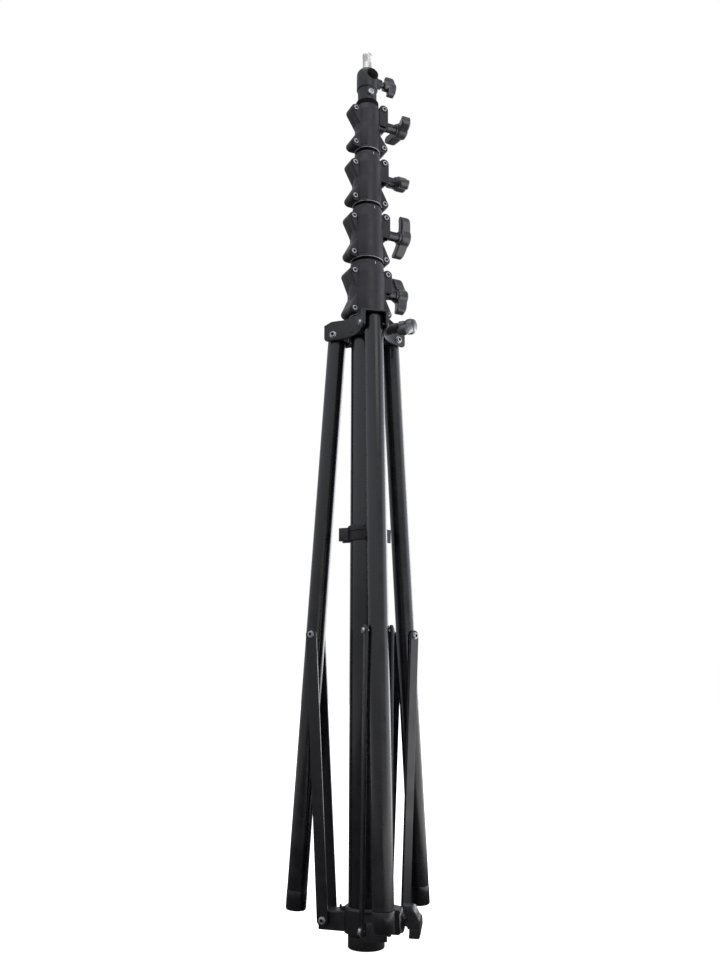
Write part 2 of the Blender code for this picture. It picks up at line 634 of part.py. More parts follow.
def make_spider():
    # Hub with three arms: each is a channel, open below and at its end, that holds a leg's head
    bore_radius = tube_radii[0] + SPIDER_CLEARANCE
    hub_radius = bore_radius + SPIDER_WALL
    tip = LEG_PIVOT_RADIUS + 13 * MM
    below = LEG_PIVOT_HEIGHT - 10 * MM
    outer = CHEEK_INSIDE + CHEEK_THICKNESS
    spider = turned("spider",
                    [(0, SPIDER_TOP), (hub_radius - MM, SPIDER_TOP), (hub_radius, SPIDER_TOP - MM),
                     (hub_radius, SPIDER_BOTTOM), (0, SPIDER_BOTTOM)])
    cheek = [(0, SPIDER_TOP - MM), (0, below + 6 * MM), (26 * MM, below)]
    cheek += arc((tip - 6 * MM, below + 6 * MM), 6 * MM, -90, 0, 4)
    cheek += arc((tip - 4 * MM, SPIDER_TOP - 5 * MM), 4 * MM, 0, 90, 3)
    arms, rooms, holes = [], [], []
    for index, azimuth in enumerate(leg_azimuths):
        turn = arm_turn(azimuth)
        arm = plate("spider_arm_%d" % index, [cheek], 2 * outer, rotation=(pi / 2, 0, turn),
                    collection=CUTTERS)
        arms.append(as_mesh(arm))
        roof = SPIDER_TOP - MM - ROOF_THICKNESS
        rooms.append(box("spider_room_%d" % index,
                         (LEG_PIVOT_RADIUS - LEG_RADIUS - MM, -CHEEK_INSIDE, below - BEYOND),
                         (tip + BEYOND, CHEEK_INSIDE, roof), rotation=(0, 0, turn), collection=CUTTERS))
        holes.append(rod("spider_hole_%d" % index, LEG_BOLT_RADIUS + GAP, -FAR, FAR,
                         location=arm_point(azimuth, LEG_PIVOT_RADIUS, LEG_PIVOT_HEIGHT),
                         rotation=(pi / 2, 0, turn), collection=CUTTERS))
    turn = arm_turn(SPIDER_KNOB_AZIMUTH)
    spot = (0, 0, SPIDER_KNOB_HEIGHT)
    boss = rod("spider_boss", BOSS_RADIUS, 20 * MM, SPIDER_BOSS_REACH, BOSS_STEPS, location=spot,
               rotation=(0, pi / 2, turn), collection=CUTTERS)
    bore = rod("spider_bore", bore_radius, 0.8, 1.0, TUBE_STEPS, collection=CUTTERS)
    stud_hole = rod("spider_stud_hole", STUD_RADIUS + GAP, 20 * MM, FAR, location=spot,
                    rotation=(0, pi / 2, turn), collection=CUTTERS)
    join(spider, *arms)
    join(spider, boss)
    cut(spider, *rooms)
    cut(spider, bore, stud_hole, *holes)
    paint(spider, DARK_NYLON)

    for index, azimuth in enumerate(leg_azimuths):
        rivet("leg_bolt_%d" % (index + 1), LEG_BOLT_RADIUS, 6.2 * MM, outer + GAP,
              location=arm_point(azimuth, LEG_PIVOT_RADIUS, LEG_PIVOT_HEIGHT),
              rotation=(pi / 2, 0, arm_turn(azimuth)))

    axis = frame("spider_knob_axis", spot, turn, spin=radians(SPIDER_KNOB_ANGLE))
    knob_and_stud("spider_%s", axis, SPIDER_BOSS_REACH, tube_radii[0] + 2 * GAP + SPIDER_CLEARANCE,
                  SHORT_NECK)


def make_lower_collar():
    # Clamp ring near the foot, with a solid arm between each pair of brace bars
    hub_radius = tube_radii[0] + 6 * MM
    tip = BRACE_PIVOT_RADIUS + BRACE_WIDTH / 2
    collar = turned("lower_collar",
                    [(0, LOWER_TOP), (hub_radius - 2 * MM, LOWER_TOP), (hub_radius, LOWER_TOP - 3 * MM),
                     (hub_radius, LOWER_BOTTOM), (0, LOWER_BOTTOM)])
    side = [(0, LOWER_TOP - 8 * MM), (0, LOWER_BOTTOM + MM)]
    side += [(tip, LOWER_BOTTOM + MM)] + arc((tip - 8 * MM, LOWER_TOP - 16 * MM), 8 * MM, 0, 90, 4)
    side += [(42 * MM, LOWER_TOP - 8 * MM)]
    arms, holes = [], []
    for index, azimuth in enumerate(leg_azimuths):
        turn = arm_turn(azimuth)
        arm = plate("lower_arm_%d" % index, [side], LOWER_ARM_WIDTH, rotation=(pi / 2, 0, turn),
                    collection=CUTTERS)
        arms.append(as_mesh(arm))
        holes.append(rod("lower_hole_%d" % index, LOWER_BORE_RADIUS, -FAR, FAR,
                         location=arm_point(azimuth, BRACE_PIVOT_RADIUS, BRACE_PIVOT_HEIGHT),
                         rotation=(pi / 2, 0, turn), collection=CUTTERS))
    turn = arm_turn(LOWER_KNOB_AZIMUTH)
    spot = (0, 0, LOWER_KNOB_HEIGHT)
    half = LOWER_BOSS_WIDTH / 2
    boss = box("lower_boss", (tube_radii[0] + MM, -half, LOWER_BOTTOM + MM),
               (LOWER_BOSS_REACH, half, LOWER_TOP - MM), rotation=(0, 0, turn), collection=CUTTERS)
    bore = rod("lower_bore", tube_radii[0] + GAP, 0, 0.1, TUBE_STEPS, collection=CUTTERS)
    stud_hole = rod("lower_stud_hole", STUD_RADIUS + GAP, 20 * MM, FAR, location=spot,
                    rotation=(0, pi / 2, turn), collection=CUTTERS)
    join(collar, *arms)
    join(collar, boss)
    cut(collar, bore, stud_hole, *holes)
    paint(collar, DARK_NYLON)

    axis = frame("lower_knob_axis", spot, turn, spin=radians(LOWER_KNOB_ANGLE))
    knob_and_stud("lower_%s", axis, LOWER_BOSS_REACH, tube_radii[0] + 2 * GAP, SHORT_NECK,
                  size=LOWER_KNOB_SIZE, washer=WASHER_RADIUS)


def make_clip_ring():
    # Band with three small clips, one at each leg, drawn in plan
    band = tube_radii[0] + GAP + RING_WALL
    root = asin(CLIP_HALF_WIDTH / band)
    edge = []
    for azimuth in leg_azimuths:
        turn = arm_turn(azimuth)
        throat = band + 4.5 * MM
        clip = [(band * cos(root), -CLIP_HALF_WIDTH), (CLIP_REACH, -CLIP_HALF_WIDTH),
                (CLIP_REACH, -CLIP_MOUTH_HALF)]
        clip += arc((throat, 0), CLIP_MOUTH_HALF, -90, -270, 6)
        clip += [(CLIP_REACH, CLIP_MOUTH_HALF), (CLIP_REACH, CLIP_HALF_WIDTH),
                 (band * cos(root), CLIP_HALF_WIDTH)]
        edge += [(x * cos(turn) - y * sin(turn), x * sin(turn) + y * cos(turn)) for x, y in clip]
        first = azimuth - 90 + root * 180 / pi
        last = azimuth - 90 + 360 / LEG_COUNT - root * 180 / pi
        edge += arc((0, 0), band, first, last, 8)[1:-1]
    hole = circle((0, 0), tube_radii[0] + GAP, TUBE_STEPS)
    height = RING_TOP - RING_BOTTOM
    clip_ring = plate("clip_ring", [edge, hole], height, location=(0, 0, (RING_TOP + RING_BOTTOM) / 2))
    paint(as_mesh(clip_ring), DARK_NYLON)


make_tubes()
make_column_foot()
for collar_level in range(4):
    make_collar(collar_level)
make_socket()
make_spigot()
for leg_index in range(LEG_COUNT):
    make_leg(leg_index)
    make_brace(leg_index)
make_spider()
make_lower_collar()
make_clip_ring()
for piece in PARTS.objects:
    if piece.type == "MESH":
        settle(piece)
bpy.context.view_layer.update()
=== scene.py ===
import json
import math

import bmesh
import bpy
import numpy as np
from mathutils import Matrix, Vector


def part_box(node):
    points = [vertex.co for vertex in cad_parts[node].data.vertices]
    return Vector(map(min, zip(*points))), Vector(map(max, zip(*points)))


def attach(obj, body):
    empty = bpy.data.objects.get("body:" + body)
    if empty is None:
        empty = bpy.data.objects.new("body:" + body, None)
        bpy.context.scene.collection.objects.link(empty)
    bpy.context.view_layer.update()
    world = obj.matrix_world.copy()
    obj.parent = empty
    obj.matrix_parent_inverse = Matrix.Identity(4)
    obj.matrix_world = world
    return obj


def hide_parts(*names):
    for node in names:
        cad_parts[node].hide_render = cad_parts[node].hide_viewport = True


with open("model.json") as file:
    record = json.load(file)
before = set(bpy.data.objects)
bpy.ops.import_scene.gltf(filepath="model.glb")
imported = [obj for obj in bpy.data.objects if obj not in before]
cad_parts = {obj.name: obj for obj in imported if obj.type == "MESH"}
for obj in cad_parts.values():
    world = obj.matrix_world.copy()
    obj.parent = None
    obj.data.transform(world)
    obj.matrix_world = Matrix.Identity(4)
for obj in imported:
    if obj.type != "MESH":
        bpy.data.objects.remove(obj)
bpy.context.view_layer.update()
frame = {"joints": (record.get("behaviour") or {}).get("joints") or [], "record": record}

# Telescopic light stand, pushed together, with its tripod closed round the mast.
# Shapes are drawn in millimetres, and meshOf turns them into metres. +Z is up and the camera side is -Y. An
# azimuth is counted in degrees from -Y towards +X.

mm = 0.001
joints = {joint["name"]: joint for joint in frame["joints"]}
bodyOf = {node: body for body, members in frame["record"]["behaviour"]["bodies"].items() for node in members}

stand = {  # driving sizes, the same as the solids have
    "tubeRadii": [26, 23, 20, 17, 14], "tubeWall": 2,
    "collarTurn": math.radians(26),  # from +X towards +Y
    "legAzimuths": [12, 132, 252], "legTilt": math.radians(3.7),
    "legPivotRadius": 52, "legPivotHeight": 930, "braceOnLeg": 489,
    "bracePivotRadius": 60, "bracePivotHeight": 35.5,
    "gap": 0.3,
}


# Placing: a local shape is turned by a matrix, then moved to an origin

def rotation(turn=0.0, tilt=0.0, spin=0.0):
    # Spin about X, then tilt about Y, then turn about Z, angles in radians
    ct, st, ci, si, cs, ss = [f(angle) for angle in (turn, tilt, spin) for f in (math.cos, math.sin)]
    aboutZ = np.array([[ct, -st, 0], [st, ct, 0], [0, 0, 1]])
    aboutY = np.array([[ci, 0, si], [0, 1, 0], [-si, 0, ci]])
    aboutX = np.array([[1, 0, 0], [0, cs, -ss], [0, ss, cs]])
    return aboutZ @ aboutY @ aboutX


alongX = rotation(tilt=math.pi / 2)  # carries +Z to +X
alongFront = rotation(spin=math.pi / 2)  # carries a flat outline's y to +Z, and its thickness to -Y
alongRear = rotation(spin=-math.pi / 2)  # carries +Z to +Y
upsideDown = rotation(spin=math.pi)


def armTurn(azimuth):
    # The azimuth less 90 degrees is the angle from +X, here in radians
    return math.radians(azimuth - 90)


def facing(azimuth):
    # Carries +X to an azimuth's direction
    return rotation(armTurn(azimuth))


def armPoint(azimuth, radius, height):
    # (r cos a, r sin a, height), with a the azimuth's angle from +X
    return np.array([radius * math.cos(armTurn(azimuth)), radius * math.sin(armTurn(azimuth)), height])


def moved(shape, matrix=np.eye(3), origin=(0, 0, 0)):
    # Each point becomes matrix times point, plus the origin. A list of shapes moves as one, and a ring,
    # ("ring", grid), stays a ring
    if isinstance(shape, list):
        return [moved(part, matrix, origin) for part in shape]
    if isinstance(shape, tuple):
        return shape[0], moved(shape[1], matrix, origin)
    return shape @ matrix.T + np.array(origin, float)


# Shapes: each one is an array of points, rows x columns x 3

def turned(profile, steps=64):
    # Point = (r cos a, r sin a, z): r and z run down the profile and a goes once round. A radius in the
    # profile may itself be an array over the angles, as for a hexagon or a thread
    angles = np.arange(steps) / steps * 2 * math.pi
    radii = np.stack([np.broadcast_to(np.asarray(row[0], float), angles.shape) for row in profile])
    heights = np.stack([np.broadcast_to(np.asarray(row[1], float), angles.shape) for row in profile])
    return np.stack([radii * np.cos(angles), radii * np.sin(angles), heights], axis=-1)


def rounded(corners, steps=4):
    # Outline whose corners (x, y, radius) become arcs: the arc's centre lies on the line that halves the
    # corner, at radius / sin(half angle), and the arc runs between the points where it touches both sides
    nearlyStraight = 1.55
    points = []
    for index, (x, y, radius) in enumerate(corners):
        here = np.array([x, y], float)
        before = np.array(corners[index - 1][:2]) - here
        after = np.array(corners[(index + 1) % len(corners)][:2]) - here
        before, after = before / np.linalg.norm(before), after / np.linalg.norm(after)
        half = math.acos(max(-1.0, min(1.0, float(before @ after)))) / 2
        if radius <= 0 or half > nearlyStraight:
            points.append(here[None])
            continue
        middle = before + after
        centre = here + middle / np.linalg.norm(middle) * radius / math.sin(half)
        first = here + before * radius / math.tan(half) - centre
        last = here + after * radius / math.tan(half) - centre
        start = math.atan2(first[1], first[0])
        sweep = (math.atan2(last[1], last[0]) - start + math.pi) % (2 * math.pi) - math.pi
        angles = start + np.linspace(0, sweep, steps + 1)
        points.append(centre + radius * np.stack([np.cos(angles), np.sin(angles)], axis=-1))
    return np.concatenate(points)


def box(left, right, low, high, radii, steps=4):
    # Rectangle with round corners: one radius, or four from the lower left corner round to the upper left
    radii = radii if isinstance(radii, tuple) else (radii,) * 4
    places = [(left, low), (right, low), (right, high), (left, high)]
    return rounded([(*place, radius) for place, radius in zip(places, radii)], steps)


def arc(centre, radius, start, end, count=12):
    # Points centre + radius (cos a, sin a), angles in degrees, both ends included
    angles = np.radians(np.linspace(start, end, count + 1))
    return np.array(centre, float) + radius * np.stack([np.cos(angles), np.sin(angles)], axis=-1)


def softened(outline, width, spacing=0.8):
    # The closed outline read off at even steps of its length, each point then averaged with its neighbours
    # under a bell-shaped weight, so that every corner turns smoothly
    closed = np.concatenate([outline, outline[:1]])
    lengths = np.concatenate([[0], np.cumsum(np.linalg.norm(np.diff(closed, axis=0), axis=1))])
    count = int(lengths[-1] / spacing)
    places = np.arange(count) / count * lengths[-1]
    even = np.stack([np.interp(places, lengths, closed[:, k]) for k in range(2)], axis=-1)
    reach = np.arange(-int(2 * width / spacing), int(2 * width / spacing) + 1)
    weights = np.exp(-(reach * spacing / width) ** 2)
    weights /= weights.sum()
    return sum(weight * np.roll(even, -step, 0) for step, weight in zip(reach, weights))


def slab(outline, low, high, edge, lowEdge=None, steps=3, flat=0.5):
    # Outline carried up from low to high. Near each end the rows move in along the outline's normals by
    # edge (1 - sin a) while they rise by edge (1 - cos a), a quarter circle, and one more row lies flat
    # inside it so that the end face shades flat
    lowEdge = edge if lowEdge is None else lowEdge
    along = np.roll(outline, -1, 0) - np.roll(outline, 1, 0)
    along /= np.maximum(np.linalg.norm(along, axis=1, keepdims=True), 1e-9)
    area = np.sum(outline[:, 0] * np.roll(outline[:, 1], -1) - outline[:, 1] * np.roll(outline[:, 0], -1))
    inward = np.stack([-along[:, 1], along[:, 0]], axis=-1) * np.sign(area)
    angles = np.linspace(0, math.pi / 2, steps + 1)
    curve, climb = np.concatenate([[1], 1 - np.sin(angles)]), np.concatenate([[0], 1 - np.cos(angles)])
    level = np.concatenate([[flat], 0 * angles])
    inset = np.concatenate([lowEdge * curve + level, (edge * curve + level)[::-1]])
    heights = np.concatenate([low + lowEdge * climb, (high - edge * climb)[::-1]])
    plan = outline[None] + inward[None] * inset[:, None, None]
    tall = np.broadcast_to(heights[:, None, None], plan.shape[:2] + (1,))
    return np.concatenate([plan, tall], axis=-1)


def plate(outline, low, high, edge, matrix=np.eye(3), origin=(0, 0, 0)):
    # A slab stood upright: the outline's y runs up and its thickness from low to high runs towards -Y
    return moved(slab(outline, low, high, edge), matrix @ alongFront, origin)


def halfShell(section, side, partLine, steps=48):
    # Closed section (radius, height) carried half round Z: point = (r cos a, r sin a, z), where a runs from
    # asin(partLine / r) to 180 degrees less that, so that both ends lie on the plane y = partLine.
    # Side -1 is the front half and +1 the rear one
    first = np.arcsin(partLine / section[:, 0])
    share = np.linspace(0, 1, steps + 1)[:, None]
    angles = first[None] * (1 - share) + (math.pi - first[None]) * share
    heights = np.broadcast_to(section[None, :, 1], angles.shape)
    return np.stack([section[:, 0] * np.cos(angles), side * section[:, 0] * np.sin(angles), heights], axis=-1)


def arcBand(section, start, end, steps=24):
    # Closed section (radius, height) carried round Z from one angle to the other, in degrees from +X
    angles = np.radians(np.linspace(start, end, steps + 1))[:, None]
    heights = np.broadcast_to(section[None, :, 1], (steps + 1, len(section)))
    return np.stack([section[:, 0] * np.cos(angles), section[:, 0] * np.sin(angles), heights], axis=-1)


def hexRadius(width, steps=48):
    # Radius of a hexagon, width across its flats, at each angle
    angles = np.arange(steps) / steps * 2 * math.pi
    return width / 2 / np.cos((angles + math.pi / 6) % (math.pi / 3) - math.pi / 6)


def pin(profile, steps=48):
    # A turned shape closed at both poles; the profile runs from the top down
    return turned([(0, profile[0][1])] + list(profile) + [(0, profile[-1][1])], steps)


def threadRows(radius, high, low, pitch=1.25, depth=0.6, steps=48):
    # r = radius - depth (1 + cos(2 pi z / pitch - a)) / 2: one groove that climbs a pitch in each turn
    angles = np.arange(steps) / steps * 2 * math.pi
    rowsPerTurn = 6
    heights = np.linspace(high, low, max(6, int(round((high - low) / pitch * rowsPerTurn, 6))))
    return [(radius - depth * (1 + np.cos(2 * math.pi * z / pitch - angles)) / 2, z) for z in heights]


# Meshes

weldDistance, sharpAngle = 0.001 * mm, math.radians(34)


def meshOf(name, parts):
    # Joins grids into one mesh. A grid's columns close on themselves, and its first and last rows are closed
    # by a flat face; in ("ring", grid) the rows close on themselves too
    vertices, quads, caps, offset = [], [], [], 0
    for part in parts:
        isRing = isinstance(part, tuple)
        grid = part[1] if isRing else part
        rows, columns = grid.shape[:2]
        index = offset + np.arange(rows * columns).reshape(rows, columns)
        if isRing:
            index = np.concatenate([index, index[:1]])
        else:
            caps += [index[0], index[-1][::-1]]
        beside = np.roll(index, -1, 1)
        quads.append(np.stack([index[:-1], index[1:], beside[1:], beside[:-1]], axis=-1).reshape(-1, 4))
        vertices.append(grid.reshape(-1, 3) * mm)
        offset += rows * columns
    vertices, quads = np.concatenate(vertices), np.concatenate(quads)
    corners = np.concatenate([quads.reshape(-1)] + caps).astype(np.int32)
    totals = np.concatenate([np.full(len(quads), 4), [len(cap) for cap in caps]]).astype(np.int32)
    mesh = bpy.data.meshes.new(name)
    mesh.vertices.add(len(vertices))
    mesh.vertices.foreach_set("co", vertices.astype(np.float32).reshape(-1))
    mesh.loops.add(len(corners))
    mesh.loops.foreach_set("vertex_index", corners)
    mesh.polygons.add(len(totals))
    mesh.polygons.foreach_set("loop_start", np.concatenate([[0], np.cumsum(totals)[:-1]]).astype(np.int32))
    mesh.polygons.foreach_set("loop_total", totals)
    mesh.update(calc_edges=True)
    shape = bmesh.new()
    shape.from_mesh(mesh)
    bmesh.ops.remove_doubles(shape, verts=shape.verts, dist=weldDistance)
    bmesh.ops.recalc_face_normals(shape, faces=shape.faces)
    shape.to_mesh(mesh)
    shape.free()
    mesh.shade_smooth()
    mesh.set_sharp_from_angle(angle=sharpAngle)
    return mesh


def piece(name, finish, parts, *stands, beside=None, slot=None):
    # A finished piece stands for the CAD nodes in stands, or only rides along beside one. The slot argument is
    # not used
    thing = bpy.data.objects.new(name, meshOf(name, parts))
    bpy.context.scene.collection.objects.link(thing)
    thing.data.materials.append(coats[finish])
    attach(thing, bodyOf[beside or stands[0]])
    if stands:
        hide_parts(*stands)
    return thing


# Materials

def addNode(tree, kind, settings):
    # Adds a node; each setting is one of its properties, the value of an input or the output that feeds it
    node = tree.nodes.new("ShaderNode" + kind)
    for key, value in settings.items():
        if isinstance(value, bpy.types.NodeSocket):
            tree.links.new(value, node.inputs[key])
        elif isinstance(key, str) and hasattr(node, key):
            setattr(node, key, value)
        else:
            node.inputs[key].default_value = value
    return node


def linear(hexColour):
    # sRGB hex to linear: c / 12.92 below 0.04045, else ((c + 0.055) / 1.055) ^ 2.4
    channels = np.array([int(hexColour[k:k + 2], 16) for k in (1, 3, 5)]) / 255
    values = np.where(channels <= 0.04045, channels / 12.92, ((channels + 0.055) / 1.055) ** 2.4)
    return (*values.tolist(), 1.0)


def perMetre(size):
    # Scale of a noise whose marks are this many millimetres apart
    return 1000 / size


# A finish's tones are its dark and light patches and its worn edges. Patches, grain and specks are so many
# millimetres apart, relief is the grain's and the specks' depth in millimetres, and streaks are marks per
# millimetre along X, Y and Z, with their share in the pattern
finishes = {
    # Drawn steel tube with a gloss black powder coat: soft orange peel, hairlines along the tube
    "glossCoatTube": dict(
        slot="black_tube", tones=("#0c0c0f", "#17171b", "#2b2b30"), patches=38, grain=3.2, specks=0.7,
        relief=(0.0035, 0.0006), streaks=(1.1, 1.1, 0.02), streakShare=0.35, roughness=(0.20, 0.32),
        coat=0.30, coatRoughness=0.10, dust=0.10),
    # Cold-rolled flat bar, satin black coat: flat colour, fine pinholes, edges a little worn
    "satinCoatBar": dict(
        slot="black_bar", tones=("#101013", "#1b1b1f", "#3a3a3f"), patches=24, grain=1.2, specks=0.45,
        relief=(0.010, 0.004), streaks=(0.9, 0.9, 0.03), streakShare=0.3, roughness=(0.30, 0.44),
        coat=0.15, coatRoughness=0.2, dust=0.12),
    # Glass-filled nylon, moulded in a spark-eroded die: charcoal with a fine even grain and pale flow marks
    "glassNylon": dict(
        slot="dark_casting", tones=("#141319", "#201f26", "#36353d"), patches=16, grain=0.7, specks=0.35,
        relief=(0.016, 0.008), streaks=(0.25, 0.25, 0.09), streakShare=0.35, roughness=(0.36, 0.52),
        dust=0.16),
    # The same nylon from a polished die, for the hand knobs: greyer, with a soft gloss and handling marks
    "knobNylon": dict(
        slot="dark_casting", tones=("#2b2b2f", "#434347", "#66666b"), patches=11, grain=1.6, specks=0.4,
        relief=(0.006, 0.0015), streaks=(0.4, 0.4, 0.15), streakShare=0.3, roughness=(0.22, 0.34),
        coat=0.30, coatRoughness=0.16, dust=0.08),
    # Pressure die-cast aluminium, fine-texture black powder coat: pebbled skin, soft highlights
    "coatedCasting": dict(
        slot="spider_casting", tones=("#121215", "#1e1e22", "#44444a"), patches=20, grain=0.9, specks=0.4,
        relief=(0.035, 0.010), streaks=(0.2, 0.2, 0.2), streakShare=0.2, roughness=(0.34, 0.50),
        coat=0.10, coatRoughness=0.25, dust=0.14),
    # Die-cast aluminium, black chromate and clear coat: a dark grey with a green cast
    "greenGreyCasting": dict(
        slot="spider_casting", tones=("#0e1213", "#1a1f22", "#454d50"), patches=14, grain=0.8, specks=0.4,
        relief=(0.028, 0.008), streaks=(0.2, 0.2, 0.12), streakShare=0.3, roughness=(0.32, 0.48),
        coat=0.10, coatRoughness=0.25, dust=0.12),
    # Moulded natural rubber: dead black, matt, with a dusty speckle where it has stood
    "blackRubber": dict(
        slot="rubber", tones=("#0b0b0c", "#161617", "#2a2a2b"), patches=9, grain=0.8, specks=0.4,
        relief=(0.030, 0.012), streaks=(0.2, 0.2, 0.1), streakShare=0.15, roughness=(0.42, 0.62), dust=0.10),
    # Rubber moulded in a polished die, for the legs' caps: black with a soft gloss
    "smoothRubber": dict(
        slot="rubber", tones=("#0a0a0c", "#131316", "#222226"), patches=20, grain=2.8, specks=0.6,
        relief=(0.0035, 0.0006), streaks=(0.3, 0.3, 0.1), streakShare=0.2, roughness=(0.19, 0.30),
        coat=0.25, coatRoughness=0.10, dust=0.04),
    # Near-black rubber with hardly any gloss, used as painted shade: the plug in the socket's crown, and in
    # part the ring under the socket's rim
    "paintedShadeRubber": dict(
        slot="rubber", tones=("#050506", "#0b0b0c", "#161617"), patches=6, grain=0.6, specks=0.3,
        relief=(0.040, 0.020), streaks=(0.3, 0.3, 0.3), streakShare=0.2, roughness=(0.70, 0.85),
        specular=0.15, dust=0.03),
    # Near-black steel for the floors of the screws' sockets: painted shade in the bright heads' hollows, dark
    # blue-black, dry and matt
    "paintedSocketShade": dict(
        slot="zinc_steel", tones=("#0d0d10", "#1a1a1e", "#2c2c30"), patches=3, grain=0.5, specks=0.3,
        relief=(0.010, 0.004), streaks=(0.4, 0.4, 0.4), streakShare=0.3, roughness=(0.55, 0.70)),
    # Acetal bush, machined: dark waxy grey with fine turning lines
    "acetal": dict(
        slot="bush_plastic", tones=("#2c2c2e", "#3c3c3f", "#505053"), patches=8, grain=0.5, specks=0.4,
        relief=(0.008, 0.003), streaks=(0.02, 0.02, 1.6), streakShare=0.35, roughness=(0.38, 0.50)),
    # Cold-headed steel, bright zinc plate: cool silver, faint bluish clouding, tumbling marks. The same silver
    # also paints the highlight on the collars' bottom rims and the glint on their sleeves
    "brightZincAndHighlight": dict(
        slot="zinc_steel", tones=("#9a9ca1", "#cfd0d4", "#f0f0f0"), patches=5, grain=0.6, specks=0.35,
        relief=(0.006, 0.002), streaks=(0.3, 0.3, 1.2), streakShare=0.3, roughness=(0.32, 0.48), metal=1.0),
    # Turned steel, satin nickel plate: warm silver with hairlines round the shaft
    "satinNickel": dict(
        slot="nickel_steel", tones=("#cccbc8", "#dad9d6", "#e0dfdc"), patches=12, grain=2.5, specks=1.2,
        relief=(0.0005, 0.0002), streaks=(0.02, 0.02, 2.2), streakShare=0.12, roughness=(0.44, 0.56),
        metal=1.0),
    # Turned steel, black zinc plate, for the knobs' necks: gunmetal with turning lines. The same gunmetal lies
    # in the spigot's end as painted shade for its slot
    "blackZincAndSlotShade": dict(
        slot="zinc_steel", tones=("#3c3c40", "#5c5c61", "#a0a0a5"), patches=8, grain=0.7, specks=0.4,
        relief=(0.003, 0.001), streaks=(0.05, 0.05, 1.4), streakShare=0.4, roughness=(0.30, 0.42), metal=1.0),
}
plainSurface = {"metal": 0.0, "specular": 0.5, "coat": 0.0, "coatRoughness": 0.3, "dust": 0.0}


def makeFinish(name, values):
    # Clouds and streaks make one pattern, which mixes the dark and the light tone and sets the roughness.
    # Worn edges and dust are mixed over it, and grain and specks give the relief
    look = {**plainSurface, **values}
    material = bpy.data.materials.new(name)
    material.use_nodes = True
    tree = material.node_tree
    shader = tree.nodes["Principled BSDF"]
    place = addNode(tree, "TexCoord", {}).outputs["Object"]
    clouds = addNode(tree, "TexNoise", {"Scale": perMetre(look["patches"]), "Detail": 5, "Roughness": 0.6,
                                        "Vector": place}).outputs["Fac"]
    along = addNode(tree, "Mapping", {"Scale": tuple(perMetre(1) * share for share in look["streaks"]),
                                      "Vector": place}).outputs["Vector"]
    streaks = addNode(tree, "TexNoise", {"Scale": 1, "Detail": 3, "Roughness": 0.7, "Vector": along})
    grain = addNode(tree, "TexNoise", {"Scale": perMetre(look["grain"]), "Detail": 2, "Vector": place})
    specks = addNode(tree, "TexVoronoi", {"Scale": perMetre(look["specks"]), "Vector": place})
    cloudShare = addNode(tree, "MapRange", {"From Min": 0.35, "From Max": 0.65, "Value": clouds}).outputs[0]
    pattern = addNode(tree, "Mix", {"data_type": "FLOAT", "Factor": look["streakShare"], 2: cloudShare,
                                    3: streaks.outputs["Fac"]}).outputs[0]
    dark, light, worn = [linear(tone) for tone in look["tones"]]
    clean = addNode(tree, "Mix", {"data_type": "RGBA", 0: pattern, 6: dark, 7: light}).outputs[2]
    # Worn edges: the mesh's own pointiness, broken up by the clouds
    surface = addNode(tree, "NewGeometry", {}).outputs
    edges = addNode(tree, "MapRange", {"From Min": 0.53, "From Max": 0.62, "Value": surface["Pointiness"]})
    wear = addNode(tree, "Math", {"operation": "MULTIPLY", 0: edges.outputs[0], 1: cloudShare}).outputs[0]
    rubbed = addNode(tree, "Mix", {"data_type": "RGBA", 0: wear, 6: clean, 7: worn}).outputs[2]
    # Dust settles on what faces up
    upward = addNode(tree, "SeparateXYZ", {0: surface["Normal"]}).outputs["Z"]
    settled = addNode(tree, "MapRange", {"From Min": 0.5, "From Max": 1.0, "To Max": look["dust"],
                                         "Value": upward}).outputs[0]
    dust = addNode(tree, "Math", {"operation": "MULTIPLY", 0: settled, 1: clouds}).outputs[0]
    dusty = addNode(tree, "Mix", {"data_type": "RGBA", 0: dust, 6: rubbed, 7: linear("#8d8a86")}).outputs[2]
    tree.links.new(dusty, shader.inputs["Base Color"])
    smoothest, roughest = look["roughness"]
    rough = addNode(tree, "MapRange", {"From Min": 0.3, "From Max": 0.7, "To Min": smoothest,
                                       "To Max": roughest, "Value": pattern}).outputs[0]
    tree.links.new(rough, shader.inputs["Roughness"])
    grainDepth, speckDepth = [depth * mm for depth in look["relief"]]
    broad = addNode(tree, "Bump", {"Strength": 0.6, "Distance": grainDepth, "Height": grain.outputs["Fac"]})
    fine = addNode(tree, "Bump", {"Strength": 0.5, "Distance": speckDepth, "Normal": broad.outputs["Normal"],
                                  "Height": specks.outputs["Distance"]})
    tree.links.new(fine.outputs["Normal"], shader.inputs["Normal"])
    shader.inputs["Metallic"].default_value = look["metal"]
    shader.inputs["Specular IOR Level"].default_value = look["specular"]
    shader.inputs["Coat Weight"].default_value = look["coat"]
    shader.inputs["Coat Roughness"].default_value = look["coatRoughness"]
    return material


coats = {name: makeFinish(name, values) for name, values in finishes.items()}
print("materials made", len(coats))


# Small fasteners, along +Z with z = 0 at the seat

def socketHead(radius, height, key, steps=48):
    # Cap screw head: chamfered rim, then a hexagonal socket whose wall drops to a third of the head's height
    socket = hexRadius(key, steps)
    rim = 0.12 * radius
    return turned([(0, height * 0.35), (socket * 0.92, height * 0.35), (socket, height * 0.42),
                   (socket, height - 0.15), (socket + 0.18, height), (radius - rim, height),
                   (radius - rim * 0.3, height - rim * 0.3), (radius, height - rim), (radius, 0),
                   (0, 0)], steps)


def socketFloor(height, key, steps=48):
    # What shows at the bottom of a head's socket: a hexagon with a drilled cone in it
    flats = hexRadius(key, steps) * 0.97
    return turned([(0, height * 0.34), (key * 0.30, height * 0.5), (flats, height * 0.52),
                   (flats, 0.1 * height), (0, 0.1 * height)], steps)


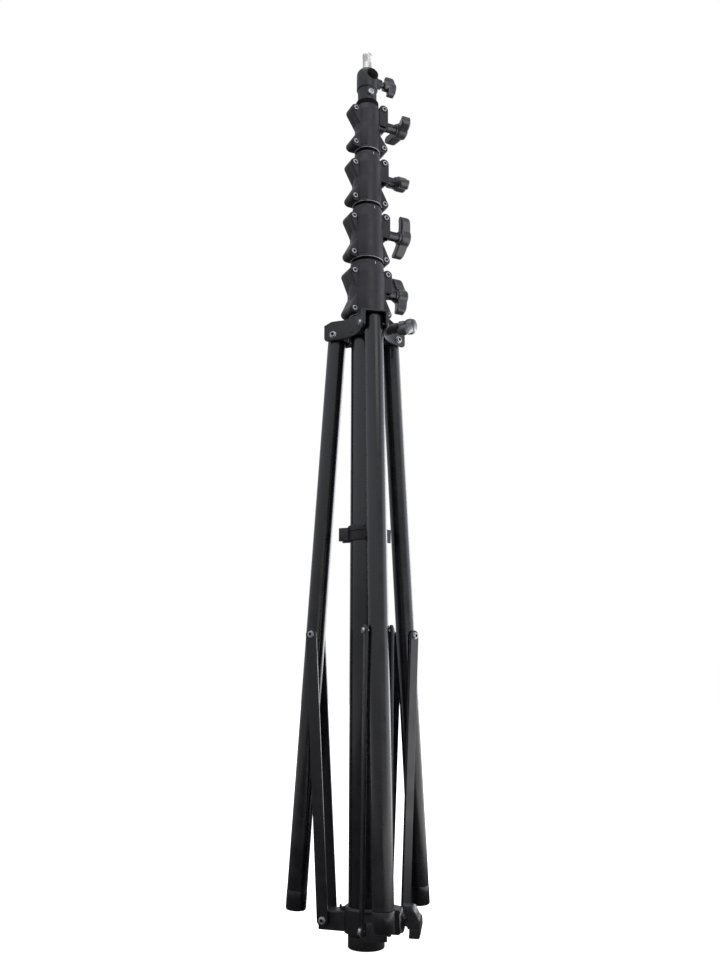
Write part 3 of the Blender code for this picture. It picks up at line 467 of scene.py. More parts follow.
def hexNut(width, height, hole, steps=48):
    # Hexagonal nut with chamfered corners and the screw's domed end showing in its bore
    flats = hexRadius(width, steps)
    bevel = np.minimum(flats, width * 0.535)
    return [turned([(0, height * 0.8), (hole, height * 0.8), (hole + 0.4, height), (width * 0.47, height),
                    (bevel, height - 0.5), (flats, height - 1), (flats, 0), (0, 0)], steps),
            pin([(hole * 0.5, height + 0.9), (hole * 0.8, height + 0.5)]
                + threadRows(hole, height + 0.2, 0, 0.8, 0.35), steps)]


def washer(radius, hole, height, steps=48):
    # Ring whose section is a rectangle with its four corners cut
    cut = min(height * 0.3, 0.3)
    return ("ring", turned([(radius - cut, height), (radius, height - cut), (radius, cut), (radius - cut, 0),
                            (hole + cut, 0), (hole, cut), (hole, height - cut), (hole + cut, height)], steps))


# Mast

def nodeHeights(node):
    # Lower and upper end of a CAD node
    low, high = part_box(node)
    return low.z / mm, high.z / mm


def makeTube(level):
    # A drawn tube: the wall's section, with its four lips rounded, goes once round the axis
    node = "inner_tube_%d" % level if level else "outer_tube"
    outer = stand["tubeRadii"][level]
    section = box(outer - stand["tubeWall"], outer, *nodeHeights(node), 0.7)
    piece("mast_tube_%d" % level, "glossCoatTube", [("ring", turned(section, 96))], node)


columnFoot = {"proud": 0.4, "lip": 1.2, "edge": 2, "top": 18, "plugTop": 44, "plugWall": 3, "floor": 5}


def makeColumnFoot():
    # Rubber cap: the profile runs from the middle of its hollow plug, up inside the tube, over the rim and
    # down to the flat underside
    radius, floor = stand["tubeRadii"][0] + columnFoot["proud"], columnFoot["floor"]
    plug = stand["tubeRadii"][0] - stand["tubeWall"] - stand["gap"]
    inside = plug - columnFoot["plugWall"]
    corners = [(0.01, floor, 0), (inside, floor, 1), (inside, columnFoot["plugTop"], 0.5),
               (plug, columnFoot["plugTop"], 1), (plug, columnFoot["top"], 0),
               (radius, columnFoot["top"], columnFoot["lip"]), (radius, 0, columnFoot["edge"]), (0.01, 0, 0)]
    piece("column_foot_cap", "blackRubber", [turned([(0, floor), *rounded(corners, 3), (0, 0)], 96)],
          "column_foot")


for level in range(5):
    makeTube(level)
makeColumnFoot()
print("mast tubes and foot made")


# Clamp collars: two moulded shells, bolted together through their ears. Lists run from the lowest collar up,
# and heights count from each collar's lower left screw

collars = {
    "heights": [967, 1070, 1173, 1276], "bottom": -10, "top": 87, "wall": 5, "shoulder": 76, "seat": 30,
    "earFronts": [17, 12.5, 12, 12], "earRears": [22, 19, 18, 14], "earRadius": 8, "waistHeight": 28,
    "screwReach": [30.5, 30, 28, 27], "leftScrews": [67, 65, 63, 65],
    "rightLows": [0, -3.4, -2.6, 1.2], "rightHighs": [70, 74, 74.5, 77],
    "knobHeights": [43, 50, 50, 52], "fingerBottoms": [38, 38, 39, 45], "bossRadius": 9,
    "headRadius": 4.1, "headHeight": 2.4, "key": 4.9, "proudScrew": 1,
    "bushLength": 26, "edge": 2.2, "partEdge": 0.15, "partLine": 0.07,
    "glintTabAzimuth": 30, "glintTabHeight": 79.5,
}


def screwSpots(level):
    # The screws' centres (x, z): lower left, upper left, lower right and upper right
    reach = collars["screwReach"][level]
    return [(-reach, 0), (-reach, collars["leftScrews"][level]), (reach, collars["rightLows"][level]),
            (reach, collars["rightHighs"][level])]


def earOutline(level, front):
    # Hourglass of four lobes round the screws; the right upper lobe is a tall finger over the knob's boss
    r, reach = collars["earRadius"], collars["screwReach"][level]
    waist, waistHeight = min(stand["tubeRadii"][level] + collars["wall"], reach) - 4, collars["waistHeight"]
    leftLow, leftHigh, rightLow, rightHigh = screwSpots(level)
    rearBottom = collars["knobHeights"][level] - collars["bossRadius"]
    below = collars["fingerBottoms"][level] if front else rearBottom
    runs = [arc(rightHigh, r, 0, 180), arc(leftHigh, r, 90, 218),
            [(-waist, leftHigh[1] - 30), (-waist, waistHeight)],
            arc(leftLow, r, 142, 270), arc(rightLow, r, -90, 38), [(waist, waistHeight)]]
    runs.append([(waist, below), (reach + r, below)] if front else [(reach + r, below)])
    return softened(np.concatenate([np.asarray(run, float) for run in runs]), 1.6)


def shellSection(outer, inner):
    # Closed section (radius, height) of a shell: skirt with a proud bottom rim, body, shoulder and sleeve
    # outside, and the seat and bush bores inside
    body, sleeve = outer + collars["wall"], inner + collars["wall"]
    bottom, top, shoulder, seat = collars["bottom"], collars["top"], collars["shoulder"], collars["seat"]
    bushBottom = top - collars["bushLength"]
    return rounded([
        (outer + 0.3, bottom, 0.6), (body, bottom, 1), (body, bottom + 3, 0.4),
        (body - 0.5, bottom + 3.6, 0.4), (body - 0.5, shoulder - 10, 14), (sleeve, shoulder + 5, 14),
        (sleeve, top, 0.6), (inner + 2.1, top, 0.5), (inner + 2.1, bushBottom, 0), (inner + 1.2, bushBottom, 0),
        (inner + 1.2, seat, 0), (outer + 0.3, seat, 0)])


def makeCollar(level):
    # Each shell is a half turn of the section, joined by two ears that are slabs of the hourglass outline
    number = level + 1
    frontNode, rearNode = "collar_front_%d" % number, "collar_rear_%d" % number
    outer, inner = stand["tubeRadii"][level], stand["tubeRadii"][level + 1]
    bodyRadius, sleeve, reach = outer + collars["wall"], inner + collars["wall"], collars["screwReach"][level]
    lobe, edge, partEdge, partLine = [collars[key] for key in ("earRadius", "edge", "partEdge", "partLine")]
    bossHeight, bossEnd = collars["knobHeights"][level], max(reach + lobe, bodyRadius + 4) + 1
    earFront, earRear = collars["earFronts"][level], collars["earRears"][level]
    home, origin = rotation(stand["collarTurn"]), (0, 0, collars["heights"][level])
    section, spots = shellSection(outer, inner), screwSpots(level)

    front = [halfShell(section, -1, partLine),
             moved(slab(earOutline(level, True), partLine, earFront, edge, partEdge), alongFront)]
    # Finger: a thicker plate over the right upper screw, with a round top and a straight foot
    finger = box(reach - lobe - 0.5, reach + lobe, collars["fingerBottoms"][level],
                 collars["rightHighs"][level] + lobe, (1.5, 1.5, 7.9, 7.9), 10)
    front.append(plate(finger, 2, earFront + 1, 1.1))
    # Flat pad on the left of the body, where its lower edge throws the line across the shell
    front.append(arcBand(box(bodyRadius - 2, bodyRadius, -4, 37, (0, 0.3, 0.3, 0)), 196, 247))
    screws, sockets, nuts = [], [], []
    headRadius, headHeight, key = collars["headRadius"], collars["headHeight"], collars["key"]
    for index, (x, z) in enumerate(spots):
        face = -earFront - (collars["proudScrew"] if index == 3 else 0)
        # A raised ring of the shell round the screw's head
        front.append(moved(washer(headRadius + 1.7, headRadius + 0.35, 1.3), alongFront, (x, face + 0.3, z)))
        place, spot = alongFront @ rotation(0.7 * index + level), (x, face + 0.6, z)
        screws.append(moved(socketHead(headRadius, headHeight, key), place, spot))
        sockets.append(moved(socketFloor(headHeight, key), place, spot))
        nuts += moved(hexNut(8, 3.2, 2.5), alongRear @ rotation(0.4 * index), (x, earRear - 1.4, z))

    rearEars = slab(earOutline(level, False), partLine, earRear, edge, partEdge)
    boss = turned([(0, bossEnd - 2), (0, bodyRadius - 3), (11, bodyRadius - 3), (10.6, bodyRadius - 1),
                   (9.4, bodyRadius + 1), (9, bodyRadius + 2.5), (9, bossEnd - 1), (8.7, bossEnd - 0.3),
                   (8, bossEnd), (4.6, bossEnd), (4.6, bossEnd - 2)], 64)
    rear = [halfShell(section, 1, partLine), moved(rearEars, alongFront * np.array([[1], [-1], [1]])),
            moved(boss, alongX, (0, 0, bossHeight))]
    # The sockets piece is the floor of each head's socket, dark as painted shade
    for name, finish, parts, node, stands in (
            ("shell_front", "glassNylon", front, frontNode, True),
            ("shell_rear", "glassNylon", rear, rearNode, True),
            ("screws", "brightZincAndHighlight", screws, frontNode, False),
            ("sockets", "paintedSocketShade", sockets, frontNode, False),
            ("nuts", "brightZincAndHighlight", nuts, rearNode, False)):
        piece("collar_%s_%d" % (name, number), finish, moved(parts, home, origin),
              *[node] * stands, beside=node)

    # Painted highlights in bright zinc: a ring at the bottom rim that draws the rim's bright arc, and on the
    # sleeve of the lower three a small tab for the glint at the sleeve's top
    base, glintTabPlace = collars["heights"][level], collars["glintTabAzimuth"]
    bottom = base + collars["bottom"]
    highlightSteel = [moved(washer(bodyRadius - 0.15, bodyRadius - 1, 0.7, 96), origin=(0, 0, bottom - 0.25))]
    if level < 3:
        glintTab = slab(box(-0.55, 0.55, 0, 5, 0.5), 0, 0.9, 0.25, flat=0.1)
        highlightSteel.append(moved(glintTab, facing(glintTabPlace) @ rotation(math.pi / 2) @ alongFront,
                           armPoint(glintTabPlace, sleeve - 0.4, base + collars["glintTabHeight"])))
    piece("collar_steel_%d" % number, "brightZincAndHighlight", highlightSteel, beside=frontNode)
    if level == 3:
        # A proud ring round the top collar's sleeve, just under the socket, in near-black rubber: a real ring
        # whose dead black is partly painted shade from the socket above
        band = rounded([(sleeve + 0.9, 0, 0.4), (sleeve + 0.9, -9, 0.8), (sleeve - 0.5, -10, 0),
                        (sleeve - 0.5, 0, 0.2)])
        mouth = base + collars["top"]
        piece("sleeve_band", "paintedShadeRubber", [("ring", moved(turned(band, 96), origin=(0, 0, mouth - 0.2)))],
              beside=frontNode)

    # Bush: a split ring of acetal whose rim shows round the upper tube
    node = "guide_bush_%d" % number
    bush = box(inner + 0.3, inner + 1.8, *nodeHeights(node), (0.3, 0.3, 0.4, 0.5))
    piece("bush_%d" % number, "acetal", [arcBand(bush, 96, 452, 96)], node)
    return bossEnd


bossEnds = [makeCollar(level) for level in range(4)]
print("clamp collars made")


# T knobs and their studs. A knob's local +X is its axis, and its arms lie along local Z

knobShape = {"length": 71, "width": 19, "sweep": 6, "hub": 12.8, "arm": 7.9, "armThinner": 1.4,
             "stations": 121, "around": 56, "squareness": 6.5, "neck": 9, "stud": 4}


def knobGrid(size, stout, squareness):
    # Section carried along the arms, z from -half to half. Its width is the larger of the arm's and the round
    # hub's, sqrt(hub^2 - z^2), and falls as a circle at the tips. Its back is the bow x = -sweep (z / half)^2
    # and its face lies width further out, less a little on the arms. Round the section, x and y follow
    # cos and sin raised to 2 / squareness, a box with soft corners
    length, width, sweep, hub, arm = [knobShape[key] * size
                                      for key in ("length", "width", "sweep", "hub", "arm")]
    width, arm = width * stout, arm * stout
    half = length / 2
    turnShare = np.linspace(0, math.pi, knobShape["stations"])
    z = -half * np.cos(turnShare) * (1 - 0.12 * np.sin(turnShare) ** 2)
    away = np.abs(z)
    tip = np.sqrt(np.clip(arm ** 2 - np.clip(away - (half - arm), 0, arm) ** 2, 0, None))
    flare = tip * (1 + 0.06 * np.clip((away - hub) / (half - hub), 0, 1))
    disc = np.sqrt(np.clip(hub ** 2 - away ** 2, 0, None))
    wide = (flare ** 6 + disc ** 6) ** (1 / 6)
    inside = 1 / (1 + np.exp((away - hub * 0.94) / (0.4 * size)))
    back = -sweep * (z / half) ** 2
    taper = knobShape["armThinner"] * size * (1 - inside) * (0.5 + away / half)
    thick = (width - taper) * (0.80 + 0.20 * tip / arm)
    middle = back + (width - taper) / 2
    angles = np.arange(knobShape["around"]) / knobShape["around"] * 2 * math.pi
    power = 2 / squareness
    across = np.sign(np.sin(angles)) * np.abs(np.sin(angles)) ** power
    outward = np.sign(np.cos(angles)) * np.abs(np.cos(angles)) ** power
    x = middle[:, None] + thick[:, None] / 2 * outward[None]
    y = wide[:, None] * across[None]
    return np.stack([x, y, np.broadcast_to(z[:, None], x.shape)], axis=-1)


def makeKnob(kind, spin, neck, bossEnd, studEnd, size=1.0, stout=1.0, skirtLength=3.0, through=False,
             collar=0.0, squareness=knobShape["squareness"]):
    # The axis comes from the joint, and the arms' rest angle is the spin. The boss's end and the stud's inner
    # end are distances from the mast's axis. A through knob shows its stud's outer end, and a collar is the
    # radius of a disc on the neck, with a washer round it
    node, stud = kind % "knob", kind % "stud"
    joint = joints[node + "_turn"]
    axis, origin = joint["axis"], np.array(joint["pos_m"]) / mm
    place = rotation(math.atan2(axis[1], axis[0]), 0, math.radians(spin))
    seat = bossEnd + neck + 3 * stand["gap"]
    width = knobShape["width"] * size * stout
    # Round skirt on the back of the hub, and a cap on its face
    skirtRadius, back = min(11.2 * size * stout, 10.8), -skirtLength
    skirt = pin([(skirtRadius - 0.6, 2 * size), (skirtRadius, 1.2 * size), (skirtRadius, back + 0.6),
                 (skirtRadius - 0.6, back)])
    parts = [moved(knobGrid(size, stout, squareness), origin=(seat, 0, 0)),
             moved(skirt, alongX, (seat, 0, 0))]
    if not through:
        cap = pin([(2.2 * size, 0.5), (5 * size, 0.35), (5.6 * size, -0.2), (5.6 * size, -1.5)])
        parts.append(moved(cap, alongX, (seat + width - 0.35, 0, 0)))
    piece(node + "_wing", "knobNylon", moved(parts, place, origin), node)

    # Stud: its threaded end inside the knob, and a plain turned neck, a little thinner in the middle, over
    # the thread that goes into the boss
    shank, flange = knobShape["stud"] * size, knobShape["neck"] * size
    near, far = bossEnd + stand["gap"], bossEnd + neck
    tip = far + (26.5 if through else 10) * size
    thread = [(0, tip), (shank * 0.55, tip), (shank * 0.78, tip - 0.5)]
    thread += threadRows(shank, tip - 0.9, far - 1) + [(0, far - 1)]
    start = near + (3 if collar else 0)
    rows = [(0, far), (flange * 0.92, far), (flange, far - 0.5 * size), (flange, far - 2.4 * size),
            (flange - 0.7 * size, far - 2.8 * size), (flange - 0.9 * size, start + (far - start) * 0.4),
            (flange - 0.7 * size, start + 0.8 * size)]
    if collar:
        rows += [(flange, start), (collar - 0.4, start), (collar, start - 0.4), (collar, near + 0.4),
                 (collar - 0.4, near)]
    else:
        rows += [(flange, near + 0.6 * size), (flange - 0.6 * size, near)]
    rows += [(shank, near)] + threadRows(shank, near - 0.2, studEnd + 1)
    rows += [(shank * 0.7, studEnd), (0, studEnd)]
    piece(stud + "_turned", "blackZincAndSlotShade", [moved(turned(rows, 48), place @ alongX, origin)], stud)
    piece(stud + "_thread", "brightZincAndHighlight", [moved(turned(thread, 48), place @ alongX, origin)], beside=stud)
    if collar:
        disc = moved(washer(collar + 3.2, shank + 0.5, 1.8), alongX, (near + 0.2, 0, 0))
        piece(kind % "washer", "brightZincAndHighlight", [moved(disc, place, origin)], beside=stud)


collarKnobs = {"spins": [-15, 25, -62, 86], "necks": [14, 21, 17, 20], "throughLevel": 2, "offTube": 0.6}
otherKnobs = {
    "socket_%s": dict(spin=-12, neck=12, bossEnd=27, studEnd=8.6, size=0.6, stout=1.35, skirtLength=7.5),
    "spider_%s": dict(spin=-58, neck=10, bossEnd=54, studEnd=28.8, skirtLength=8.5, squareness=2.8),
    "lower_%s": dict(spin=38, neck=10, bossEnd=52, studEnd=26.6, size=0.88, stout=1.1, skirtLength=1,
                     collar=13),
}
for level, (spin, neck) in enumerate(zip(collarKnobs["spins"], collarKnobs["necks"])):
    studEnd = stand["tubeRadii"][level + 1] + collarKnobs["offTube"]
    makeKnob("collar_%%s_%d" % (level + 1), spin, neck, bossEnds[level], studEnd,
             through=level == collarKnobs["throughLevel"])
for kind, values in otherKnobs.items():
    makeKnob(kind, **values)
print("knobs and studs made")


# Spigot and its socket

socket = {"bottom": 1363, "step": 1389, "top": 1430, "radius": 18.5, "neck": 16.5, "bore": 8.3, "crown": 7,
          "knobHeight": 1410, "screwHeight": 1377, "screwAzimuth": 22,
          "shadePlugAzimuth": 36, "shadePlugHeight": 1410.5, "shadePlugRise": math.radians(15)}


def makeSocket():
    # Section of the casting: domed crown, body, step, and a thinner neck with a rolled bottom lip, over the
    # bores for the spigot and the top tube
    inner, bore = stand["tubeRadii"][4] + stand["gap"], socket["bore"]
    r, n, top, step, bottom = [socket[key] for key in ("radius", "neck", "top", "step", "bottom")]
    crown = arc((socket["crown"], top - r + socket["crown"]), r - socket["crown"], 80, 4)
    corners = [(bore, top - 0.2, 0.5)] + [(*point, 0) for point in crown]
    corners += [(r, step + 0.2, 0.8), (n, step, 0.5), (n, bottom + 2.5, 0.3), (n, bottom, 0.8),
                (inner, bottom, 0.5), (inner, step + 0.3, 0), (6, step + 0.3, 0), (6, step + 6, 0),
                (bore, step + 6, 0)]
    knobSide, screwSide = rotation(stand["collarTurn"]), facing(socket["screwAzimuth"])
    knobCentre, screwCentre = (0, 0, socket["knobHeight"]), (0, 0, socket["screwHeight"])
    boss = pin([(4.2, 26.2), (7.2, 26.9), (8.2, 26.5), (8.5, 25.6), (8.5, 19.5), (9, 18.3), (10.4, 17),
                (10.4, 13)])
    pad = pin([(6.6, n + 0.9), (7.2, n + 0.4), (7.6, n - 1), (7.6, n - 3)])
    piece("socket_casting", "greenGreyCasting",
          [("ring", turned(rounded(corners, 3), 96)), moved(boss, knobSide @ alongX, knobCentre),
           moved(pad, screwSide @ alongX, screwCentre)], "spigot_socket")

    # Painted shade: a near-black domed plug set in the crown's side, where the casting lies dark
    outwards = rotation(armTurn(socket["shadePlugAzimuth"]), -socket["shadePlugRise"]) @ alongX
    plug = pin([(3, 22.6), (6.8, 22), (9.4, 20.7), (10.6, 19), (10.8, 17.2), (10.8, 9)])
    piece("socket_plug", "paintedShadeRubber", [moved(plug, outwards, (0, 0, socket["shadePlugHeight"]))],
          beside="spigot_socket")

    # Bright insert in the knob's boss, and the clamp screw
    insert = moved(washer(7.8, 3.4, 1.9), alongX, (25.2, 0, 0))
    piece("socket_insert", "brightZincAndHighlight", [moved(insert, knobSide, knobCentre)], beside="spigot_socket")
    head = moved(socketHead(5.2, 2.8, 4.8), alongX, (n + 0.9, 0, 0))
    piece("socket_clamp_screw", "brightZincAndHighlight", [moved(head, screwSide, screwCentre)], "socket_screw")


def makeSpigot():
    # Turned profile: threaded stub, chamfered flange, plain shank with a shallow groove, and a tapered
    # lower end. The end slot is not cut: a thin dark bar lies in the flat end, painted shade for the slot
    low, high = nodeHeights("spigot")
    r = 8
    rows = [(0, high), (2.2, high), (2.7, high - 0.4)] + threadRows(3, high - 0.6, high - 2.8, 0.8, 0.4)
    rows += [(radius, high - down) for radius, down in (
        (3, 3), (r - 0.5, 3), (r + 0.2, 3.4), (r + 0.5, 4.2), (r + 0.5, 8.6), (r + 0.2, 9.4), (r, 9.8),
        (r, 20), (r - 0.15, 20.3), (r - 0.15, 20.9), (r, 21.2))]
    rows += [(r, low + 6), (r - 1.5, low + 4), (r - 1.5, low + 0.4), (r - 2, low), (0, low)]
    slot = slab(box(-2.6, 2.6, -0.45, 0.45, 0.2), high - 0.5, high + 0.02, 0.05)
    piece("spigot_turned", "satinNickel", [turned(rows, 48)], "spigot")
    piece("spigot_slot_shade", "blackZincAndSlotShade", [moved(slot, rotation(1.1))], beside="spigot", slot="nickel_steel")


makeSocket()
makeSpigot()
print("spigot and socket made")


# Folding base

leg = {"radius": 15, "wall": 1.8, "length": 889, "capLength": 28, "capRadius": 15.3, "plugTop": 18}
brace = {"width": 17, "thickness": 4.2, "inside": 16.9, "edge": 0.9, "bolt": 4.3}


def makeLeg(index):
    # A turned tube that hangs from its pivot, with z running back along it
    number, azimuth = index + 1, stand["legAzimuths"][index]
    origin = armPoint(azimuth, stand["legPivotRadius"], stand["legPivotHeight"])
    place = rotation(armTurn(azimuth), -stand["legTilt"])
    r, inside = leg["radius"], leg["radius"] - leg["wall"]
    end = -(leg["length"] - leg["capLength"])
    # Tube with a closed head, where (x / r)^4 + (z / r)^4 = 1: the profile runs down the outside and back up
    # the bore
    angles = np.radians(np.linspace(88, 0, 20))
    head = r * np.sqrt(np.stack([np.cos(angles), np.sin(angles)], axis=-1))
    rows = [(0, r), *head, (r, end + 0.6), (r - 0.5, end), (inside, end), (inside, -14), (0, -14)]
    piece("leg_tube_%d" % number, "glossCoatTube", [moved(turned(rows, 72), place, origin)],
          "leg_%d" % number)
    # Rubber cap: rolled upper lip over a shallow step, rounded end, and a plug in the tube
    c, tall, plug, plugTop = leg["capRadius"], leg["capLength"], inside - 0.3, leg["plugTop"]
    profile = rounded([(0.01, plugTop, 0), (plug, plugTop, 1), (plug, -0.3, 0), (c, -0.3, 0.4),
                       (c - 0.1, -tall, 2.6), (0.01, -tall, 0)], 3)
    cap = moved(turned([(0, plugTop), *profile, (0, -tall)], 72), origin=(0, 0, end))
    piece("leg_cap_%d" % number, "smoothRubber", [moved(cap, place, origin)], "leg_foot_%d" % number)


def boltPair(radius, half, height=2.7):
    # Socket head on one side and a hexagonal nut on the other, each on a thin washer, along Z
    disc = washer(radius * 1.22, radius * 0.5, 0.6)
    nut = hexNut(radius * 1.8, height - 0.8, radius * 0.5)
    return [moved(socketHead(radius, height, radius * 1.15), origin=(0, 0, half + 0.5)),
            moved(disc, origin=(0, 0, half)), moved(disc, upsideDown, (0, 0, -half)),
            *moved(nut, upsideDown, (0, 0, -half - 0.5)),
            pin([(radius * 0.5, half + 0.4), (radius * 0.5, -half - 0.4)])]


def boltSocket(radius, half, height=2.7):
    # The floor of that head's socket, as a piece of its own, for the painted shade in it
    return [moved(socketFloor(height, radius * 1.15), origin=(0, 0, half + 0.5))]


def headSide(index):
    # The left arm's bolts are put in from the other side, so that their heads face the front there too
    return alongRear if index == 2 else alongFront


def makeBrace(index):
    # Two flat bars with round ends: the outline of straight sides and half circles, carried through the
    # thickness with broken edges
    number, azimuth = index + 1, stand["legAzimuths"][index]
    tilt, onLeg = stand["legTilt"], stand["braceOnLeg"]
    run = stand["legPivotRadius"] + onLeg * math.sin(tilt) - stand["bracePivotRadius"]
    rise = stand["legPivotHeight"] - onLeg * math.cos(tilt) - stand["bracePivotHeight"]
    length, lean = math.hypot(run, rise), math.atan2(run, rise)
    origin = armPoint(azimuth, stand["bracePivotRadius"], stand["bracePivotHeight"])
    place = rotation(armTurn(azimuth), lean)
    half = brace["width"] / 2
    outline = np.concatenate([arc((0, length), half, 0, 180, 16), arc((0, 0), half, 180, 360, 16)])
    inner, outer = brace["inside"], brace["inside"] + brace["thickness"]
    for low, high, hand in ((inner, outer, "right"), (-outer, -inner, "left")):
        piece("brace_bar_%d_%s" % (number, hand), "satinCoatBar",
              [plate(outline, low, high, brace["edge"], place, origin)], "brace_%d_%s" % (number, hand))
    sockets = []
    for end, height in (("foot", 0), ("top", length)):
        bolt, floor = [moved(moved(shape(brace["bolt"], outer + stand["gap"]),
                                   headSide(index) @ rotation(0.5), (0, 0, height)), place, origin)
                       for shape in (boltPair, boltSocket)]
        sockets += floor
        piece("brace_bolt_%d_%s" % (number, end), "brightZincAndHighlight", bolt, "brace_%d_%s_bolt" % (number, end))
    piece("brace_bolt_sockets_%d" % number, "paintedSocketShade", sockets, beside="brace_%d_foot_bolt" % number)


for index in range(3):
    makeLeg(index)
    makeBrace(index)
print("legs and braces made")


spider = {"top": 954.5, "bottom": 926, "bore": 28.2, "hub": 33.7, "cheekInside": 16.3, "cheek": 4.5,
          "roof": 5, "tip": 68, "below": 920, "from": 25, "bolt": 4.7, "fillet": 56,
          "knobAzimuth": 72, "knobHeight": 936, "bossReach": 54}


def makeSpider():
    # A turned hub with three forks, each of two upright cheeks, a bent roof over them and a web at the hub
    top, below, tip, start = spider["top"], spider["below"], spider["tip"], spider["from"]
    hub = box(spider["bore"], spider["hub"], spider["bottom"], top, (0.6, 1.2, 1.6, 0.8))
    parts = [("ring", turned(hub, 96))]
    bolts, boltSockets = [], []
    inside, outside = spider["cheekInside"], spider["cheekInside"] + spider["cheek"]
    under = top - 1 - spider["roof"]
    cheek = rounded([(start, top - 1, 0), (start, below + 6, 0), (27, below, 2), (tip, below, 6),
                     (tip, top - 7, 6), (tip - 13, top - 1, 10)], 6)
    # Roof: a plate seen from its side, bent down a little over the arm's end
    roof = rounded([(start, top - 1, 0), (tip - 13, top - 1, 10), (tip, top - 7, 3), (tip, top - 9, 0.6),
                    (tip - 3, top - 9, 0.6), (tip - 13, under, 6), (start, under, 0)], 6)
    web = box(29, 34.3, -inside - 1, inside + 1, (0, 1.5, 1.5, 0))
    pad = pin([(9.2, outside + 0.25), (9.8, outside - 0.2), (9.8, outside - 2)])
    for index, azimuth in enumerate(stand["legAzimuths"]):
        place, pivot = facing(azimuth), armPoint(azimuth, stand["legPivotRadius"], stand["legPivotHeight"])
        parts += [plate(cheek, low, high, 1.1, place)
                  for low, high in ((inside, outside), (-outside, -inside))]
        parts += [plate(roof, 0.3 - outside, outside - 0.3, 0.8, place),
                  moved(slab(web, below + 1, top - 2, 0.8), place)]
        # Raised pad round each pivot bolt
        parts += [moved(pad, place @ side, pivot) for side in (alongFront, alongRear)]
        for group, shape in ((bolts, boltPair), (boltSockets, boltSocket)):
            bolt = shape(spider["bolt"], outside + stand["gap"], 2.9)
            group.append(moved(bolt, place @ headSide(index) @ rotation(0.9), pivot))
    # Web in each corner between two arms: its outer side is an arc that touches both arms' cheeks, with its
    # centre on the corner's middle line at (outside + fillet) / sin 60
    away = (outside + spider["fillet"]) / math.sin(math.pi / 3)
    corner = np.concatenate([arc((away, 0), spider["fillet"], 210, 150, 18), arc((0, 0), 30, 60, -60, 12)])
    parts += [moved(slab(corner, below + 0.4, top - 1.4, 1), facing(azimuth + 60))
              for azimuth in stand["legAzimuths"]]
    # Boss for the knob, and a rib that carries it down to the hub's lower edge
    turn, reach, middle = facing(spider["knobAzimuth"]), spider["bossReach"], spider["knobHeight"]
    boss = pin([(7.8, reach), (8.7, reach - 0.4), (9, reach - 1.2), (9, 36.5), (9.6, 34.8), (11, 33.4),
                (11, 30)])
    rib = rounded([(29.5, spider["bottom"] + 0.4, 0), (44, spider["bottom"] + 0.6, 1), (50, middle - 5, 2),
                   (50, middle + 6, 2), (40, top - 1.5, 2), (29.5, top - 1.5, 0)])
    parts += [moved(boss, turn @ alongX, (0, 0, middle)), plate(rib, -3, 3, 1, turn)]
    piece("spider_casting", "coatedCasting", parts, "spider")
    for number, bolt in enumerate(bolts, 1):
        piece("leg_pivot_bolt_%d" % number, "brightZincAndHighlight", bolt, "leg_bolt_%d" % number)
    piece("leg_pivot_bolt_sockets", "paintedSocketShade", sum(boltSockets, []), beside="leg_bolt_1")


lower = {"bottom": 21, "top": 56, "wall": 6, "armHalf": 15.2, "tip": 68, "flangeShift": 10.5,
         "flangeHalf": 1.6, "bossReach": 52, "bossHalf": 13, "knobAzimuth": 74, "hookAzimuth": 268,
         "hookRise": 3}


def makeLowerCollar():
    # A turned hub with three arms that are slabs of their side view, and a knob boss drawn in plan
    bore, hubRadius = stand["tubeRadii"][0] + stand["gap"], stand["tubeRadii"][0] + lower["wall"]
    low, top, tip, armHalf, bossHalf = [lower[key] for key in ("bottom", "top", "tip", "armHalf", "bossHalf")]
    hub = rounded([(bore, top, 0.8), (hubRadius - 2, top, 1.2), (hubRadius, top - 3, 1.2),
                   (hubRadius, low, 1.2), (bore, low, 0.8)])
    parts = [("ring", turned(hub, 96))]
    side = rounded([(27.2, low + 1, 0), (tip, low + 1, 1.2), (tip, top - 8, 8), (42, top - 8, 3),
                    (31, top - 6.5, 0), (27.2, top - 8, 0)], 8)
    # Flanges at both sides of the arm's outer face
    flange = rounded([(33, low + 2, 0), (tip - 1.2, low + 2, 1), (tip - 1.2, top - 9, 7),
                      (33, top - 7.3, 0)], 6)
    thin = lower["flangeHalf"]
    for azimuth in stand["legAzimuths"]:
        parts.append(plate(side, -armHalf, armHalf, 1.4, facing(azimuth)))
        parts += [plate(flange, shift - thin, shift + thin, 0.7, facing(azimuth))
                  for shift in (-lower["flangeShift"], lower["flangeShift"])]
    boss = box(27.2, lower["bossReach"], -bossHalf, bossHalf, (0, 2.5, 2.5, 0), 5)
    parts.append(moved(slab(boss, low + 1, top - 1, 1.6), facing(lower["knobAzimuth"])))
    # Small hook on the left of the ring
    hook = rounded([(30, 46, 0), (36.5, 46, 1), (38.5, 50, 1), (38.5, 54, 0.8), (36, 54, 0.8), (35, 51, 0.8),
                    (30, 52, 0)])
    parts.append(plate(hook, -4, 4, 0.6, facing(lower["hookAzimuth"]), (0, 0, lower["hookRise"])))
    piece("lower_collar_casting", "coatedCasting", parts, "lower_collar")


clip = {"bottom": 585, "top": 609, "wall": 3.6, "reach": 43.5, "half": 10.5, "mouth": 6.2, "lip": 1.65,
        "bandHeight": 9}


